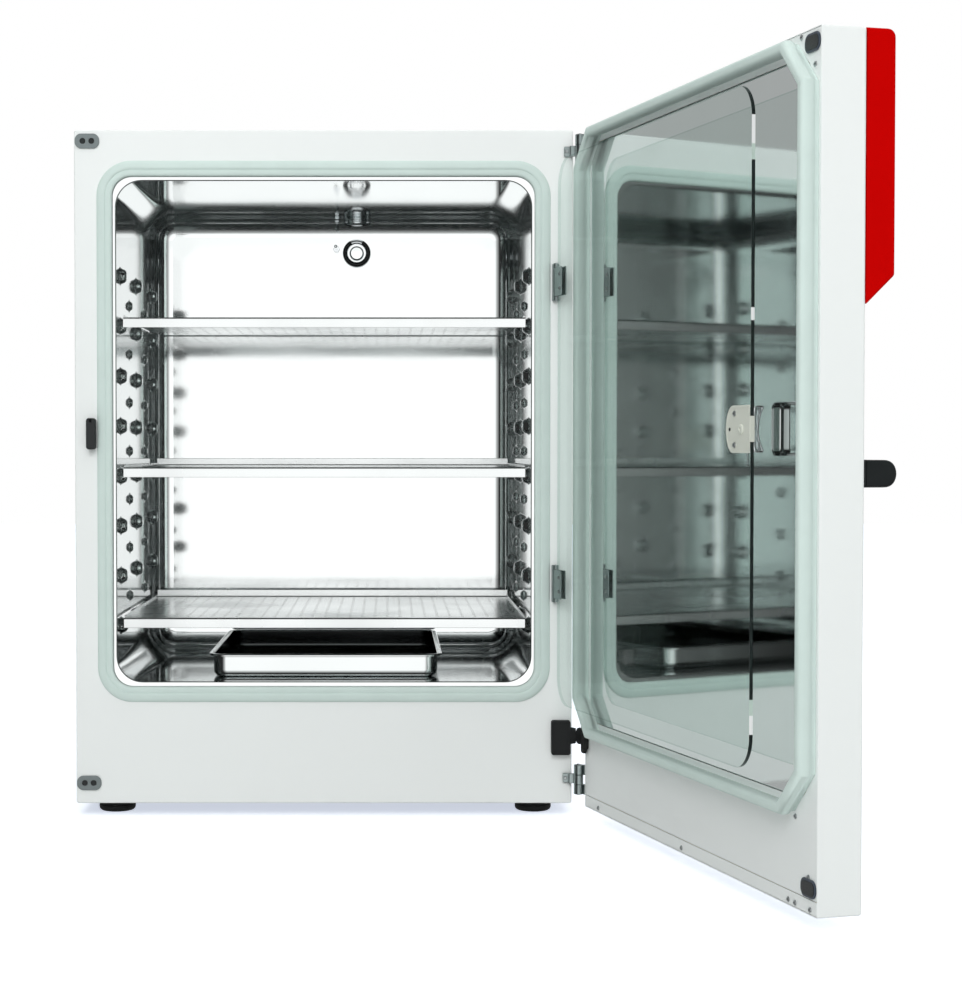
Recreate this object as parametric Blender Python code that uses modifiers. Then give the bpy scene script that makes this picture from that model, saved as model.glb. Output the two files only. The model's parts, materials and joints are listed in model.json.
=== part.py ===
"""Laboratory incubator with a hinged outer door, an inner glass door, three shelves and a water pan.

Frame, in metres: X to the right, the front faces -Y, Z up. The origin is the centre of the
housing's underside, on the pressed pad of the base plate; the feet reach below it.

Every piece is dimensioned with both doors shut. Empties on the joint axes then hold the
moving pieces and turn the two doors to their resting, open position.
"""
import math

import bmesh
import bpy
from mathutils import Matrix

# Driving dimensions
HOUSING_WIDTH = 0.780
HOUSING_DEPTH = 0.670
HOUSING_HEIGHT = 1.056
CHAMBER_WIDTH = 0.650
CHAMBER_HEIGHT = 0.785
CHAMBER_DEPTH = 0.523
CHAMBER_FLOOR_Z = 0.192
DOOR_THICKNESS = 0.060
DOOR_GAP = 0.0245
DOORS_OPEN = math.radians(105)
SHELF_TOPS = {"shelf_bottom": 0.290, "shelf_middle": 0.529, "shelf_top": 0.766}
FOOT_HEIGHT = 0.020

# Sheet thicknesses and running gaps
GAP = 0.0003
SHEET = 0.0015
LINER_SHEET = 0.001

# Planes and edges that follow from them
SIDE_X = HOUSING_WIDTH / 2
FRONT_Y = -HOUSING_DEPTH / 2
BACK_Y = HOUSING_DEPTH / 2
CHAMBER_X = CHAMBER_WIDTH / 2
CHAMBER_TOP_Z = CHAMBER_FLOOR_Z + CHAMBER_HEIGHT
CHAMBER_MID_Z = CHAMBER_FLOOR_Z + CHAMBER_HEIGHT / 2
CHAMBER_BACK_Y = FRONT_Y + CHAMBER_DEPTH
DOOR_LEFT_X = -SIDE_X + 0.001
DOOR_RIGHT_X = SIDE_X - 0.002
DOOR_FACE = DOOR_GAP + DOOR_THICKNESS


def ahead(distance):
    """The Y of a plane that lies this far in front of the housing's face."""
    return FRONT_Y - distance


# ---------------------------------------------------------------- scene and materials

for old in list(bpy.data.objects):
    bpy.data.objects.remove(old, do_unlink=True)

PARTS = bpy.data.collections.new("laboratory_incubator")
CUTTERS = bpy.data.collections.new("cutters")
bpy.context.scene.collection.children.link(PARTS)
bpy.context.scene.collection.children.link(CUTTERS)


def make_material(name, colour, roughness, metallic=0.0, alpha=1.0):
    made = bpy.data.materials.new(name)
    made.use_nodes = True
    shader = made.node_tree.nodes["Principled BSDF"]
    shader.inputs["Base Color"].default_value = (*colour, 1.0)
    shader.inputs["Roughness"].default_value = roughness
    shader.inputs["Metallic"].default_value = metallic
    shader.inputs["Alpha"].default_value = alpha
    return made


WHITE_PAINT = make_material("white_paint", (0.88, 0.90, 0.90), 0.35)
POLISHED_STEEL = make_material("polished_steel", (0.78, 0.79, 0.79), 0.16, 1.0)
MIRROR_STEEL = make_material("mirror_steel", (0.72, 0.75, 0.75), 0.06, 1.0)
ZINC_STEEL = make_material("zinc_steel", (0.55, 0.57, 0.58), 0.35, 1.0)
HINGE_STEEL = make_material("hinge_steel", (0.34, 0.37, 0.38), 0.30, 1.0)
CHROME = make_material("chrome", (0.85, 0.86, 0.87), 0.08, 1.0)
SILICONE = make_material("silicone", (0.62, 0.72, 0.68), 0.55)
RED_PAINT = make_material("red_paint", (0.52, 0.004, 0.004), 0.30)
BLACK_PLASTIC = make_material("black_plastic", (0.020, 0.024, 0.026), 0.45)
GREY_PLASTIC = make_material("grey_plastic", (0.16, 0.19, 0.19), 0.5)
CREAM_PLASTIC = make_material("cream_plastic", (0.66, 0.67, 0.60), 0.45)
BLACK_RUBBER = make_material("black_rubber", (0.015, 0.016, 0.017), 0.8)
CLEAR_GLASS = make_material("clear_glass", (0.80, 0.88, 0.86), 0.02, 0.0, 0.3)
DISPLAY_GLASS = make_material("display_glass", (0.010, 0.012, 0.015), 0.08)
FOAM = make_material("insulation_foam", (0.85, 0.78, 0.52), 0.9)
CIRCUIT_GREEN = make_material("circuit_green", (0.03, 0.20, 0.08), 0.5)
BRASS = make_material("brass", (0.75, 0.56, 0.25), 0.3, 1.0)


class Pivot:
    """An empty on a joint's axis, at the place the axis has with both doors shut."""

    def __init__(self, name, at, under=None, turn_z=0.0):
        self.at = at
        self.empty = bpy.data.objects.new(name, None)
        self.empty.location = minus(at, under.at) if under else at
        self.empty.rotation_euler = (0, 0, turn_z)
        self.empty.parent = under.empty if under else None
        PARTS.objects.link(self.empty)


def minus(a, b):
    return tuple(p - q for p, q in zip(a, b))


OUTER_HINGE_X = SIDE_X + 0.009
OUTER_HINGE_Y = ahead(0.018)
GLASS_HINGE_X = 0.363
GLASS_HINGE_Y = ahead(0.010)
LATCH_X = -0.319
LATCH_Z = 0.582
SWITCH_X = 0.230
SWITCH_Z = 0.920
SWITCH_AXIS_AHEAD = DOOR_FACE + 0.038 - 0.007

OUTER_DOOR = Pivot("outer_door_hinge", (OUTER_HINGE_X, OUTER_HINGE_Y, 0), turn_z=DOORS_OPEN)
GLASS_DOOR = Pivot("glass_door_hinge", (GLASS_HINGE_X, GLASS_HINGE_Y, 0), turn_z=DOORS_OPEN)
LATCH = Pivot("glass_latch_pivot", (LATCH_X, ahead(0.010), LATCH_Z), under=GLASS_DOOR)
SWITCH = Pivot("power_switch_pivot", (SWITCH_X, ahead(SWITCH_AXIS_AHEAD), SWITCH_Z), under=OUTER_DOOR)


# ---------------------------------------------------------------- modelling helpers

def place(name, mesh, at, rotation, look, pivot):
    """Link one piece, with its location given as if both doors were shut."""
    piece = bpy.data.objects.new(name, mesh)
    piece.location = minus(at, pivot.at) if pivot else at
    piece.rotation_euler = rotation
    piece.parent = pivot.empty if pivot else None
    mesh.materials.clear()
    mesh.materials.append(look)
    PARTS.objects.link(piece)
    return piece


def smooth(piece, angle=35):
    piece.data.shade_smooth()
    piece.data.set_sharp_from_angle(angle=math.radians(angle))


def bevel(piece, width, segments=2, angle=50):
    made = piece.modifiers.new("bevel", "BEVEL")
    made.width = width
    made.segments = segments
    made.limit_method = "ANGLE"
    made.angle_limit = math.radians(angle)
    return piece


def box(name, low, high, look, pivot=None, edge=0.0, segments=1):
    shape = bmesh.new()
    bmesh.ops.create_cube(shape, size=1.0)
    bmesh.ops.scale(shape, vec=minus(high, low), verts=shape.verts)
    mesh = bpy.data.meshes.new(name)
    shape.to_mesh(mesh)
    shape.free()
    middle = tuple((a + b) / 2 for a, b in zip(low, high))
    piece = place(name, mesh, middle, (0, 0, 0), look, pivot)
    if edge:
        bevel(piece, edge, segments)
    return piece


ALONG = {"x": (0, math.pi / 2, 0), "y": (math.pi / 2, 0, 0), "z": (0, 0, 0)}


def cone(name, middle, length, low_radius, high_radius, axis, look, pivot=None, sides=20):
    shape = bmesh.new()
    bmesh.ops.create_cone(shape, cap_ends=True, segments=sides, depth=length,
                          radius1=low_radius, radius2=high_radius)
    mesh = bpy.data.meshes.new(name)
    shape.to_mesh(mesh)
    shape.free()
    piece = place(name, mesh, middle, ALONG[axis], look, pivot)
    smooth(piece)
    return piece


def rod(name, middle, length, radius, axis, look, pivot=None, sides=20):
    return cone(name, middle, length, radius, radius, axis, look, pivot, sides)


def rounded_outline(low, high, radius, steps=6):
    """A rectangle's outline with corner arcs; one step gives plain chamfers."""
    centres = ((high[0] - radius, low[1] + radius), (high[0] - radius, high[1] - radius),
               (low[0] + radius, high[1] - radius), (low[0] + radius, low[1] + radius))
    points = []
    for quarter, (cx, cy) in enumerate(centres):
        for step in range(steps + 1):
            turn = math.radians(90 * (quarter - 1 + step / steps))
            points.append((cx + radius * math.cos(turn), cy + radius * math.sin(turn)))
    return points


# How an outline drawn in (u, v) stands in the world, and the axis its thickness runs along
FACING = {"front": ((math.pi / 2, 0, 0), 1), "up": ((0, 0, 0), 2), "side": ((math.pi / 2, 0, math.pi / 2), 0)}


def flat_piece(name, outlines, facing, low, high, look, pivot=None):
    """A flat outline, with any inner outlines as holes, made solid between two planes."""
    curve = bpy.data.curves.new(name, "CURVE")
    curve.dimensions = "2D"
    curve.fill_mode = "BOTH"
    curve.extrude = (high - low) / 2
    for outline in outlines:
        spline = curve.splines.new("POLY")
        spline.points.add(len(outline) - 1)
        for point, (u, v) in zip(spline.points, outline):
            point.co = (u, v, 0, 1)
        spline.use_cyclic_u = True
    drawn = bpy.data.objects.new(name, curve)
    PARTS.objects.link(drawn)
    mesh = bpy.data.meshes.new_from_object(drawn.evaluated_get(bpy.context.evaluated_depsgraph_get()))
    bpy.data.objects.remove(drawn, do_unlink=True)
    shape = bmesh.new()
    shape.from_mesh(mesh)
    bmesh.ops.remove_doubles(shape, verts=shape.verts, dist=0.00001)
    bmesh.ops.recalc_face_normals(shape, faces=shape.faces)
    shape.to_mesh(mesh)
    shape.free()
    rotation, normal = FACING[facing]
    at = [0, 0, 0]
    at[normal] = (low + high) / 2
    return place(name, mesh, tuple(at), rotation, look, pivot)


def open_pan(name, size, corner, floor_edge, rim, thickness, mouth, rotation, look, pivot=None,
             arc_steps=5):
    """A drawn sheet-metal pan: a floor, rounded walls and a rim turned outwards at its mouth.

    The pan is drawn with its mouth up at z = 0, and the sheet lies outside the given size.
    """
    width, length, depth = size
    shape = bmesh.new()
    bmesh.ops.create_cube(shape, size=1.0)
    bmesh.ops.scale(shape, vec=size, verts=shape.verts)
    bmesh.ops.translate(shape, vec=(0, 0, -depth / 2), verts=shape.verts)
    walls = [e for e in shape.edges if abs(e.verts[0].co.z - e.verts[1].co.z) > depth / 2]
    bmesh.ops.bevel(shape, geom=walls, offset=corner, segments=arc_steps, profile=0.5, affect="EDGES")
    floor = [e for e in shape.edges if all(v.co.z < -depth + 1e-6 for v in e.verts)]
    bmesh.ops.bevel(shape, geom=floor, offset=floor_edge, segments=max(2, arc_steps - 1),
                    profile=0.5, affect="EDGES")
    lid = [f for f in shape.faces if all(v.co.z > -1e-6 for v in f.verts)]
    bmesh.ops.delete(shape, geom=lid, context="FACES")
    mouth_edges = [e for e in shape.edges if e.is_boundary]
    grown = bmesh.ops.extrude_edge_only(shape, edges=mouth_edges)["geom"]
    for vertex in (g for g in grown if isinstance(g, bmesh.types.BMVert)):
        vertex.co.x *= (width / 2 + rim) / (width / 2)
        vertex.co.y *= (length / 2 + rim) / (length / 2)
    mesh = bpy.data.meshes.new(name)
    shape.to_mesh(mesh)
    shape.free()
    piece = place(name, mesh, mouth, rotation, look, pivot)
    smooth(piece, 30)
    sheet = piece.modifiers.new("sheet", "SOLIDIFY")
    sheet.thickness = thickness
    sheet.offset = 1.0
    return piece


def turned(name, profile, at, rotation, look, pivot=None, steps=24):
    """A turned piece. The profile holds (radius, height) points from its top to its underside."""
    shape = bmesh.new()
    points = [shape.verts.new((radius, 0, height)) for radius, height in profile]
    for first, second in zip(points, points[1:]):
        shape.edges.new((first, second))
    mesh = bpy.data.meshes.new(name)
    shape.to_mesh(mesh)
    shape.free()
    piece = place(name, mesh, at, rotation, look, pivot)
    screw = piece.modifiers.new("turn", "SCREW")
    screw.axis = "Z"
    screw.steps = steps
    screw.render_steps = steps
    screw.use_merge_vertices = True
    screw.merge_threshold = 0.0001
    screw.use_smooth_shade = True
    return piece


def combine(piece, other, operation):
    """Cut or join another shape into a piece; the other shape becomes a hidden cutter."""
    made = piece.modifiers.new(operation.lower(), "BOOLEAN")
    made.operation = operation
    made.object = other
    other.hide_render = True
    other.display_type = "WIRE"
    PARTS.objects.unlink(other)
    CUTTERS.objects.link(other)
    return piece


def cut(piece, other):
    return combine(piece, other, "DIFFERENCE")


def join(piece, other):
    return combine(piece, other, "UNION")


# ---------------------------------------------------------------- housing

FRAME_DEPTH = 0.020
FRAME_SHEET = 0.002
FRAME_OPENING_LOW = (-0.345, 0.169)
FRAME_OPENING_HIGH = (0.345, 0.999)
PAD_SIZE = (0.300, 0.200)
PAD_DROP = 0.003
FOOT_X = 0.333
FOOT_Y = 0.275
FOOT_RADIUS = 0.029


def make_outer_shell():
    """Side walls and roof, bent from one sheet."""
    side = SIDE_X - SHEET / 2
    top = HOUSING_HEIGHT - SHEET / 2
    bend = 0.004
    path = [(-side, 0.0)]
    for centre_x, first in ((-side + bend, 180), (side - bend, 90)):
        for step in range(4):
            turn = math.radians(first - 30 * step)
            path.append((centre_x + bend * math.cos(turn), top - bend + bend * math.sin(turn)))
    path.append((side, 0.0))
    shape = bmesh.new()
    row = [shape.verts.new((x, FRONT_Y + FRAME_DEPTH + GAP, z)) for x, z in path]
    edges = [shape.edges.new(pair) for pair in zip(row, row[1:])]
    grown = bmesh.ops.extrude_edge_only(shape, edges=edges)["geom"]
    far_row = [g for g in grown if isinstance(g, bmesh.types.BMVert)]
    bmesh.ops.translate(shape, vec=(0, HOUSING_DEPTH - FRAME_DEPTH - GAP, 0), verts=far_row)
    mesh = bpy.data.meshes.new("outer_shell")
    shape.to_mesh(mesh)
    shape.free()
    shell = place("outer_shell", mesh, (0, 0, 0), (0, 0, 0), WHITE_PAINT, None)
    smooth(shell)
    sheet = shell.modifiers.new("sheet", "SOLIDIFY")
    sheet.thickness = SHEET
    sheet.offset = 0.0


def make_front_frame():
    """The pressed face panel round the chamber's mouth, with returns to the shell."""
    wall = FRAME_SHEET
    frame = box("front_frame", (-SIDE_X, FRONT_Y, 0), (SIDE_X, FRONT_Y + FRAME_DEPTH, HOUSING_HEIGHT),
                WHITE_PAINT, edge=0.0025, segments=2)
    cut(frame, box("frame_hollow", (-SIDE_X + wall, FRONT_Y + wall, wall),
                   (SIDE_X - wall, FRONT_Y + 2 * FRAME_DEPTH, HOUSING_HEIGHT - wall), ZINC_STEEL))
    mouth = rounded_outline(FRAME_OPENING_LOW, FRAME_OPENING_HIGH, 0.045)
    cut(frame, flat_piece("frame_mouth", [mouth], "front", FRONT_Y - 0.01, FRONT_Y + 0.01, ZINC_STEEL))


def make_rear_cover():
    """A flat rear panel with two columns of cooling slots low down."""
    edge = SIDE_X - SHEET - GAP
    outlines = [rounded_outline((-edge, 0.006), (edge, HOUSING_HEIGHT - SHEET - GAP), 0.003, 2)]
    for column_x in (-0.22, 0.22):
        for row in range(6):
            z = 0.070 + 0.016 * row
            outlines.append(rounded_outline((column_x - 0.06, z), (column_x + 0.06, z + 0.006), 0.0029, 2))
    flat_piece("rear_cover", outlines, "front", BACK_Y - 0.004, BACK_Y - 0.002, WHITE_PAINT)


def make_base_plate():
    """Floor of the housing, with the pressed pad that carries the origin."""
    edge = SIDE_X - FRAME_SHEET - GAP
    base = box("base_plate", (-edge, FRONT_Y + 0.0023, PAD_DROP),
               (edge, BACK_Y - 0.005, PAD_DROP + 0.002), ZINC_STEEL)
    join(base, box("base_pad", (-PAD_SIZE[0] / 2, -PAD_SIZE[1] / 2, 0),
                   (PAD_SIZE[0] / 2, PAD_SIZE[1] / 2, PAD_DROP + 0.001), ZINC_STEEL))


def make_feet():
    top = PAD_DROP - GAP
    edge = 0.007
    profile = [(0, top), (FOOT_RADIUS, top)]
    for step in range(5):
        turn = math.radians(22.5 * step)
        profile.append((FOOT_RADIUS - edge + edge * math.cos(turn),
                        -FOOT_HEIGHT + edge - edge * math.sin(turn)))
    profile.append((0, -FOOT_HEIGHT))
    for end, y in (("front", -FOOT_Y), ("rear", FOOT_Y)):
        for side, x in (("left", -FOOT_X), ("right", FOOT_X)):
            turned("foot_%s_%s" % (end, side), profile, (x, y, 0), (0, 0, 0), BLACK_RUBBER)


# Shelf bosses: three large ones a row at each side wall, and small ones between the rows
BOSS_PITCH = 0.0793
BOSS_RADIUS = 0.010
BOSS_REACH = 0.011
BOSS_DEPTHS = (0.050, 0.250, 0.470)
SMALL_BOSS_DEPTHS = (0.160, 0.360)
BOSS_FLARE = 0.004
SHELF_HALF_WIDTH = 0.318
SHELF_SHEET = 0.0012
BOSS_RADIUS_UNDER_SHELF = BOSS_RADIUS + BOSS_FLARE * (SHELF_HALF_WIDTH - CHAMBER_X + BOSS_REACH) / BOSS_REACH
LOWEST_BOSS_Z = SHELF_TOPS["shelf_bottom"] - SHELF_SHEET - GAP - BOSS_RADIUS_UNDER_SHELF
BOSS_ROWS = 8


def chamber_bosses():
    """All the bosses of both side walls, as one set of separate cones."""
    shape = bmesh.new()
    spots = []
    for row in range(BOSS_ROWS):
        z = LOWEST_BOSS_Z + row * BOSS_PITCH
        spots += [(depth, z, BOSS_RADIUS, BOSS_REACH, 12) for depth in BOSS_DEPTHS]
        if row < BOSS_ROWS - 1:
            spots += [(depth, z + BOSS_PITCH / 2, 0.006, 0.006, 8) for depth in SMALL_BOSS_DEPTHS]
    for side in (-1, 1):
        for depth, z, radius, reach, sides in spots:
            made = bmesh.ops.create_cone(shape, cap_ends=True, segments=sides, depth=reach + 0.0005,
                                         radius1=radius + BOSS_FLARE, radius2=radius)["verts"]
            inwards = Matrix.Rotation(-side * math.pi / 2, 3, "Y")
            bmesh.ops.rotate(shape, verts=made, matrix=inwards)
            middle = side * (CHAMBER_X - reach / 2 + 0.00025)
            bmesh.ops.translate(shape, verts=made, vec=(middle, FRONT_Y + depth, z))
    mesh = bpy.data.meshes.new("chamber_bosses")
    shape.to_mesh(mesh)
    shape.free()
    return place("chamber_bosses", mesh, (0, 0, 0), (0, 0, 0), POLISHED_STEEL, None)


def make_chamber():
    """Deep-drawn stainless liner with a rim behind the face panel."""
    mouth_y = FRONT_Y + 0.0025
    chamber = open_pan("inner_chamber", (CHAMBER_WIDTH, CHAMBER_HEIGHT, CHAMBER_BACK_Y - mouth_y),
                       corner=0.040, floor_edge=0.034, rim=0.026, thickness=LINER_SHEET,
                       mouth=(0, mouth_y, CHAMBER_MID_Z), rotation=(math.pi / 2, 0, 0),
                       look=POLISHED_STEEL)
    join(chamber, chamber_bosses())


def make_chamber_heater():
    """Heating foil wrapped round the liner."""
    inner = 0.0020
    outer = inner + 0.0005
    sleeve = []
    for grow in (outer, inner):
        sleeve.append(rounded_outline((-CHAMBER_X - grow, CHAMBER_FLOOR_Z - grow),
                                      (CHAMBER_X + grow, CHAMBER_TOP_Z + grow), 0.040, 5))
    flat_piece("chamber_heater", sleeve, "front", FRONT_Y + 0.020, CHAMBER_BACK_Y - 0.045, ZINC_STEEL)


def make_insulation():
    """Foam jacket round the liner, open at the chamber's mouth."""
    inner = 0.0045
    jacket = box("chamber_insulation", (-SIDE_X + 0.004, FRONT_Y + 0.005, 0.062),
                 (SIDE_X - 0.004, CHAMBER_BACK_Y + 0.060, HOUSING_HEIGHT - 0.004), FOAM)
    cut(jacket, box("insulation_hollow", (-CHAMBER_X - inner, FRONT_Y - 0.02, CHAMBER_FLOOR_Z - inner),
                    (CHAMBER_X + inner, CHAMBER_BACK_Y + 0.002, CHAMBER_TOP_Z + inner), FOAM))
    mouth = rounded_outline((-0.354, 0.161), (0.354, 1.006), 0.05, 4)
    cut(jacket, flat_piece("insulation_mouth", [mouth], "front", FRONT_Y - 0.01, FRONT_Y + 0.008, FOAM))


def make_chamber_gasket():
    outer = rounded_outline((-0.355, 0.160), (0.355, 1.008), 0.055, 8)
    inner = rounded_outline((-0.330, 0.184), (0.330, 0.984), 0.030, 8)
    ring = flat_piece("chamber_gasket", [outer, inner], "front", ahead(0.0055), ahead(GAP), SILICONE)
    bevel(ring, 0.002, 1)
    smooth(ring, 60)


SENSOR_X, SENSOR_Z = 0.044, 0.914
PROBE_X, PROBE_Z = 0.007, 0.922


def make_sensors():
    """Ring-shaped gas sensor cap with its head, and the temperature probe beside it."""
    wall_y = CHAMBER_BACK_Y - GAP
    facing_front = (math.pi / 2, 0, 0)
    cap = [(0.0165, 0.017), (0.0185, 0.0185), (0.0225, 0.018), (0.0255, 0.013), (0.026, 0.0),
           (0.0165, 0.0), (0.0165, 0.017)]
    turned("sensor_cap", cap, (SENSOR_X, wall_y, SENSOR_Z), facing_front, CHROME)
    head = [(0, 0.012), (0.007, 0.011), (0.012, 0.007), (0.0135, 0.0), (0, 0)]
    turned("sensor_head", head, (SENSOR_X, wall_y, SENSOR_Z), facing_front, GREY_PLASTIC)
    length = 0.060
    rod("temperature_probe", (PROBE_X, wall_y - length / 2, PROBE_Z), length, 0.003, "y", CHROME, sides=12)


STRIKE_LOW = (-0.370, 0.557)
STRIKE_HIGH = (-0.356, 0.606)


def make_glass_strike():
    """Black keeper on the face: its slot is open towards the glass, for the latch's tongue."""
    strike = box("glass_strike", (STRIKE_LOW[0], ahead(0.0195), STRIKE_LOW[1]),
                 (STRIKE_HIGH[0], ahead(GAP), STRIKE_HIGH[1]), BLACK_PLASTIC, edge=0.002, segments=2)
    cut(strike, box("strike_slot", (STRIKE_LOW[0] + 0.003, ahead(0.0165), STRIKE_LOW[1] - 0.01),
                    (STRIKE_HIGH[0] + 0.01, ahead(0.012), STRIKE_HIGH[1] + 0.01), BLACK_PLASTIC))


def plug_cover(name, low_x, low_z, back, front, pivot=None):
    """Slotted plug over the mounting holes that let the door be hung on its other side."""
    high_x, high_z = low_x + 0.0385, low_z + 0.023
    outlines = [rounded_outline((low_x, low_z), (high_x, high_z), 0.008, 4)]
    for slot_x in (low_x + 0.008, low_x + 0.0225):
        outlines.append(rounded_outline((slot_x, low_z + 0.005), (slot_x + 0.008, low_z + 0.010), 0.002, 2))
    flat_piece(name, outlines, "front", ahead(front), ahead(back), GREY_PLASTIC, pivot)


def make_housing_trim():
    for level, low_z in (("upper", 1.027), ("lower", 0.021)):
        plug_cover("%s_plug_cover" % level, -SIDE_X + 0.0015, low_z, GAP, 0.0028)
    boot = box("cable_boot", (0.357, ahead(0.014), 0.078), (0.387, ahead(GAP), 0.132), BLACK_RUBBER,
               edge=0.002, segments=1)
    join(boot, rod("boot_neck", (0.387, ahead(0.0075), 0.108), 0.014, 0.0065, "x", BLACK_RUBBER, sides=12))


def make_services():
    """What the housing holds behind and under the chamber, and its connections at the rear."""
    box("power_supply", (-0.300, 0.05, 0.0055), (-0.140, 0.28, 0.055), ZINC_STEEL, edge=0.002)
    box("relay_board", (0.060, 0.10, 0.012), (0.260, 0.26, 0.014), CIRCUIT_GREEN)
    valve = box("gas_valve", (0.270, 0.262, 0.240), (0.310, 0.300, 0.290), BRASS, edge=0.003)
    join(valve, rod("valve_coil", (0.290, 0.281, 0.305), 0.040, 0.015, "z", BRASS, sides=16))
    outside = BACK_Y - 0.002
    nozzle = [(0, 0.026), (0.0035, 0.026), (0.0050, 0.018), (0.0040, 0.016), (0.0065, 0.008),
              (0.0065, 0.006), (0.0095, 0.006), (0.0095, 0.0003), (0, 0.0003)]
    turned("gas_inlet", nozzle, (0.290, outside, 0.150), (-math.pi / 2, 0, 0), BRASS, steps=16)
    inlet = box("mains_inlet", (-0.250, outside + GAP, 0.186), (-0.200, outside + 0.012, 0.216),
                BLACK_PLASTIC, edge=0.002)
    cut(inlet, box("inlet_socket", (-0.245, outside + 0.004, 0.191), (-0.205, outside + 0.02, 0.211),
                   BLACK_PLASTIC))
    plug = [(0, 0.016), (0.014, 0.016), (0.017, 0.013), (0.0185, 0.004), (0.022, 0.004),
            (0.022, 0.0003), (0, 0.0003)]
    turned("access_port_plug", plug, (-0.150, outside, 0.720), (-math.pi / 2, 0, 0), SILICONE, steps=20)


# ---------------------------------------------------------------- hinges

KNUCKLE_RADIUS = 0.0075
PIN_RADIUS = 0.003
OUTER_HINGES = {"upper": (0.997, 1.046), "lower": (0.018, 0.064)}


def make_outer_hinge(level, low_z, high_z):
    """A bracket on the housing between the two knuckles of the door's leaf, on one pin."""
    axis_x, axis_y = OUTER_HINGE_X, OUTER_HINGE_Y
    third = (high_z - low_z) / 3
    arm_low, arm_high = low_z + third + GAP, high_z - third - GAP
    middle_z = (low_z + high_z) / 2
    bracket = box("%s_hinge_bracket" % level, (0.3755, ahead(0.005), arm_low), (SIDE_X - 0.001, ahead(GAP), arm_high),
                  HINGE_STEEL, edge=0.0008)
    join(bracket, box("arm_" + level, (0.384, ahead(0.014), arm_low), (axis_x, ahead(0.003), arm_high), HINGE_STEEL))
    join(bracket, rod("knuckle_" + level, (axis_x, axis_y, middle_z), arm_high - arm_low, KNUCKLE_RADIUS,
                      "z", HINGE_STEEL))
    cut(bracket, rod("bore_" + level, (axis_x, axis_y, middle_z), 0.2, PIN_RADIUS + 0.0003, "z", HINGE_STEEL))

    leaf_x = DOOR_RIGHT_X + GAP
    leaf = box("%s_hinge_leaf" % level, (leaf_x, ahead(0.066), low_z), (leaf_x + 0.003, ahead(0.027), high_z),
               HINGE_STEEL, OUTER_DOOR, edge=0.0006)
    for low, high in ((low_z, low_z + third), (high_z - third, high_z)):
        half = (low + high) / 2
        join(leaf, box("web_%s_%d" % (level, half * 1000), (leaf_x + 0.0005, ahead(0.030), low),
                       (axis_x, ahead(0.0195), high), HINGE_STEEL, OUTER_DOOR))
        join(leaf, rod("barrel_%s_%d" % (level, half * 1000), (axis_x, axis_y, half), high - low,
                       KNUCKLE_RADIUS, "z", HINGE_STEEL, OUTER_DOOR))
    cut(leaf, rod("leaf_bore_" + level, (axis_x, axis_y, middle_z), 0.2, PIN_RADIUS + 0.0003, "z",
                  HINGE_STEEL, OUTER_DOOR))
    rod("%s_hinge_pin" % level, (axis_x, axis_y, middle_z), high_z - low_z + 0.003, PIN_RADIUS, "z", CHROME)


GLASS_LOW = (-0.343, 0.161)
GLASS_HIGH = (0.349, 1.006)
GLASS_CORNER = 0.043
GLASS_BACK = 0.0075
GLASS_FRONT = 0.0125
GLASS_HINGE_LEVELS = {"upper": 0.818, "lower": 0.347}


def make_glass_hinge(level, middle_z):
    """A small bracket with two ears on the housing, and a clamp on the glass between them."""
    half = 0.029
    ear = 0.006
    axis_x, axis_y = GLASS_HINGE_X, GLASS_HINGE_Y
    bracket = box("%s_glass_hinge" % level, (0.3575, ahead(0.0030), middle_z - half),
                  (0.3685, ahead(GAP), middle_z + half), HINGE_STEEL, edge=0.0006)
    for side in (-1, 1):
        low = middle_z + side * half - (ear if side > 0 else 0)
        name = "%s_%d" % (level, side)
        join(bracket, box("ear_web_" + name, (axis_x - 0.004, ahead(0.010), low),
                          (axis_x + 0.004, ahead(0.002), low + ear), HINGE_STEEL))
        join(bracket, rod("ear_" + name, (axis_x, axis_y, low + ear / 2), ear, 0.004, "z", HINGE_STEEL, sides=16))
    cut(bracket, rod("ear_bore_" + level, (axis_x, axis_y, middle_z), 0.1, 0.0018, "z", HINGE_STEEL, sides=12))

    reach = half - ear - 0.0008
    clamp = box("%s_glass_clamp" % level, (0.328, ahead(0.0145), middle_z - reach),
                (axis_x - 0.0035, ahead(0.0059), middle_z + reach), HINGE_STEEL, GLASS_DOOR, edge=0.0006)
    join(clamp, rod("clamp_barrel_" + level, (axis_x, axis_y, middle_z), 2 * reach, 0.004, "z",
                    HINGE_STEEL, GLASS_DOOR, sides=16))
    cut(clamp, box("clamp_slot_" + level, (0.31, ahead(GLASS_FRONT + GAP), middle_z - 0.05),
                   (GLASS_HIGH[0] + GAP, ahead(GLASS_BACK - GAP), middle_z + 0.05), HINGE_STEEL, GLASS_DOOR))
    cut(clamp, rod("clamp_bore_" + level, (axis_x, axis_y, middle_z), 0.1, 0.0018, "z", HINGE_STEEL,
                   GLASS_DOOR, sides=12))
    rod("%s_glass_hinge_pin" % level, (axis_x, axis_y, middle_z), 2 * half + 0.002, 0.0015, "z", CHROME, sides=12)


# ---------------------------------------------------------------- inner glass door

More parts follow.
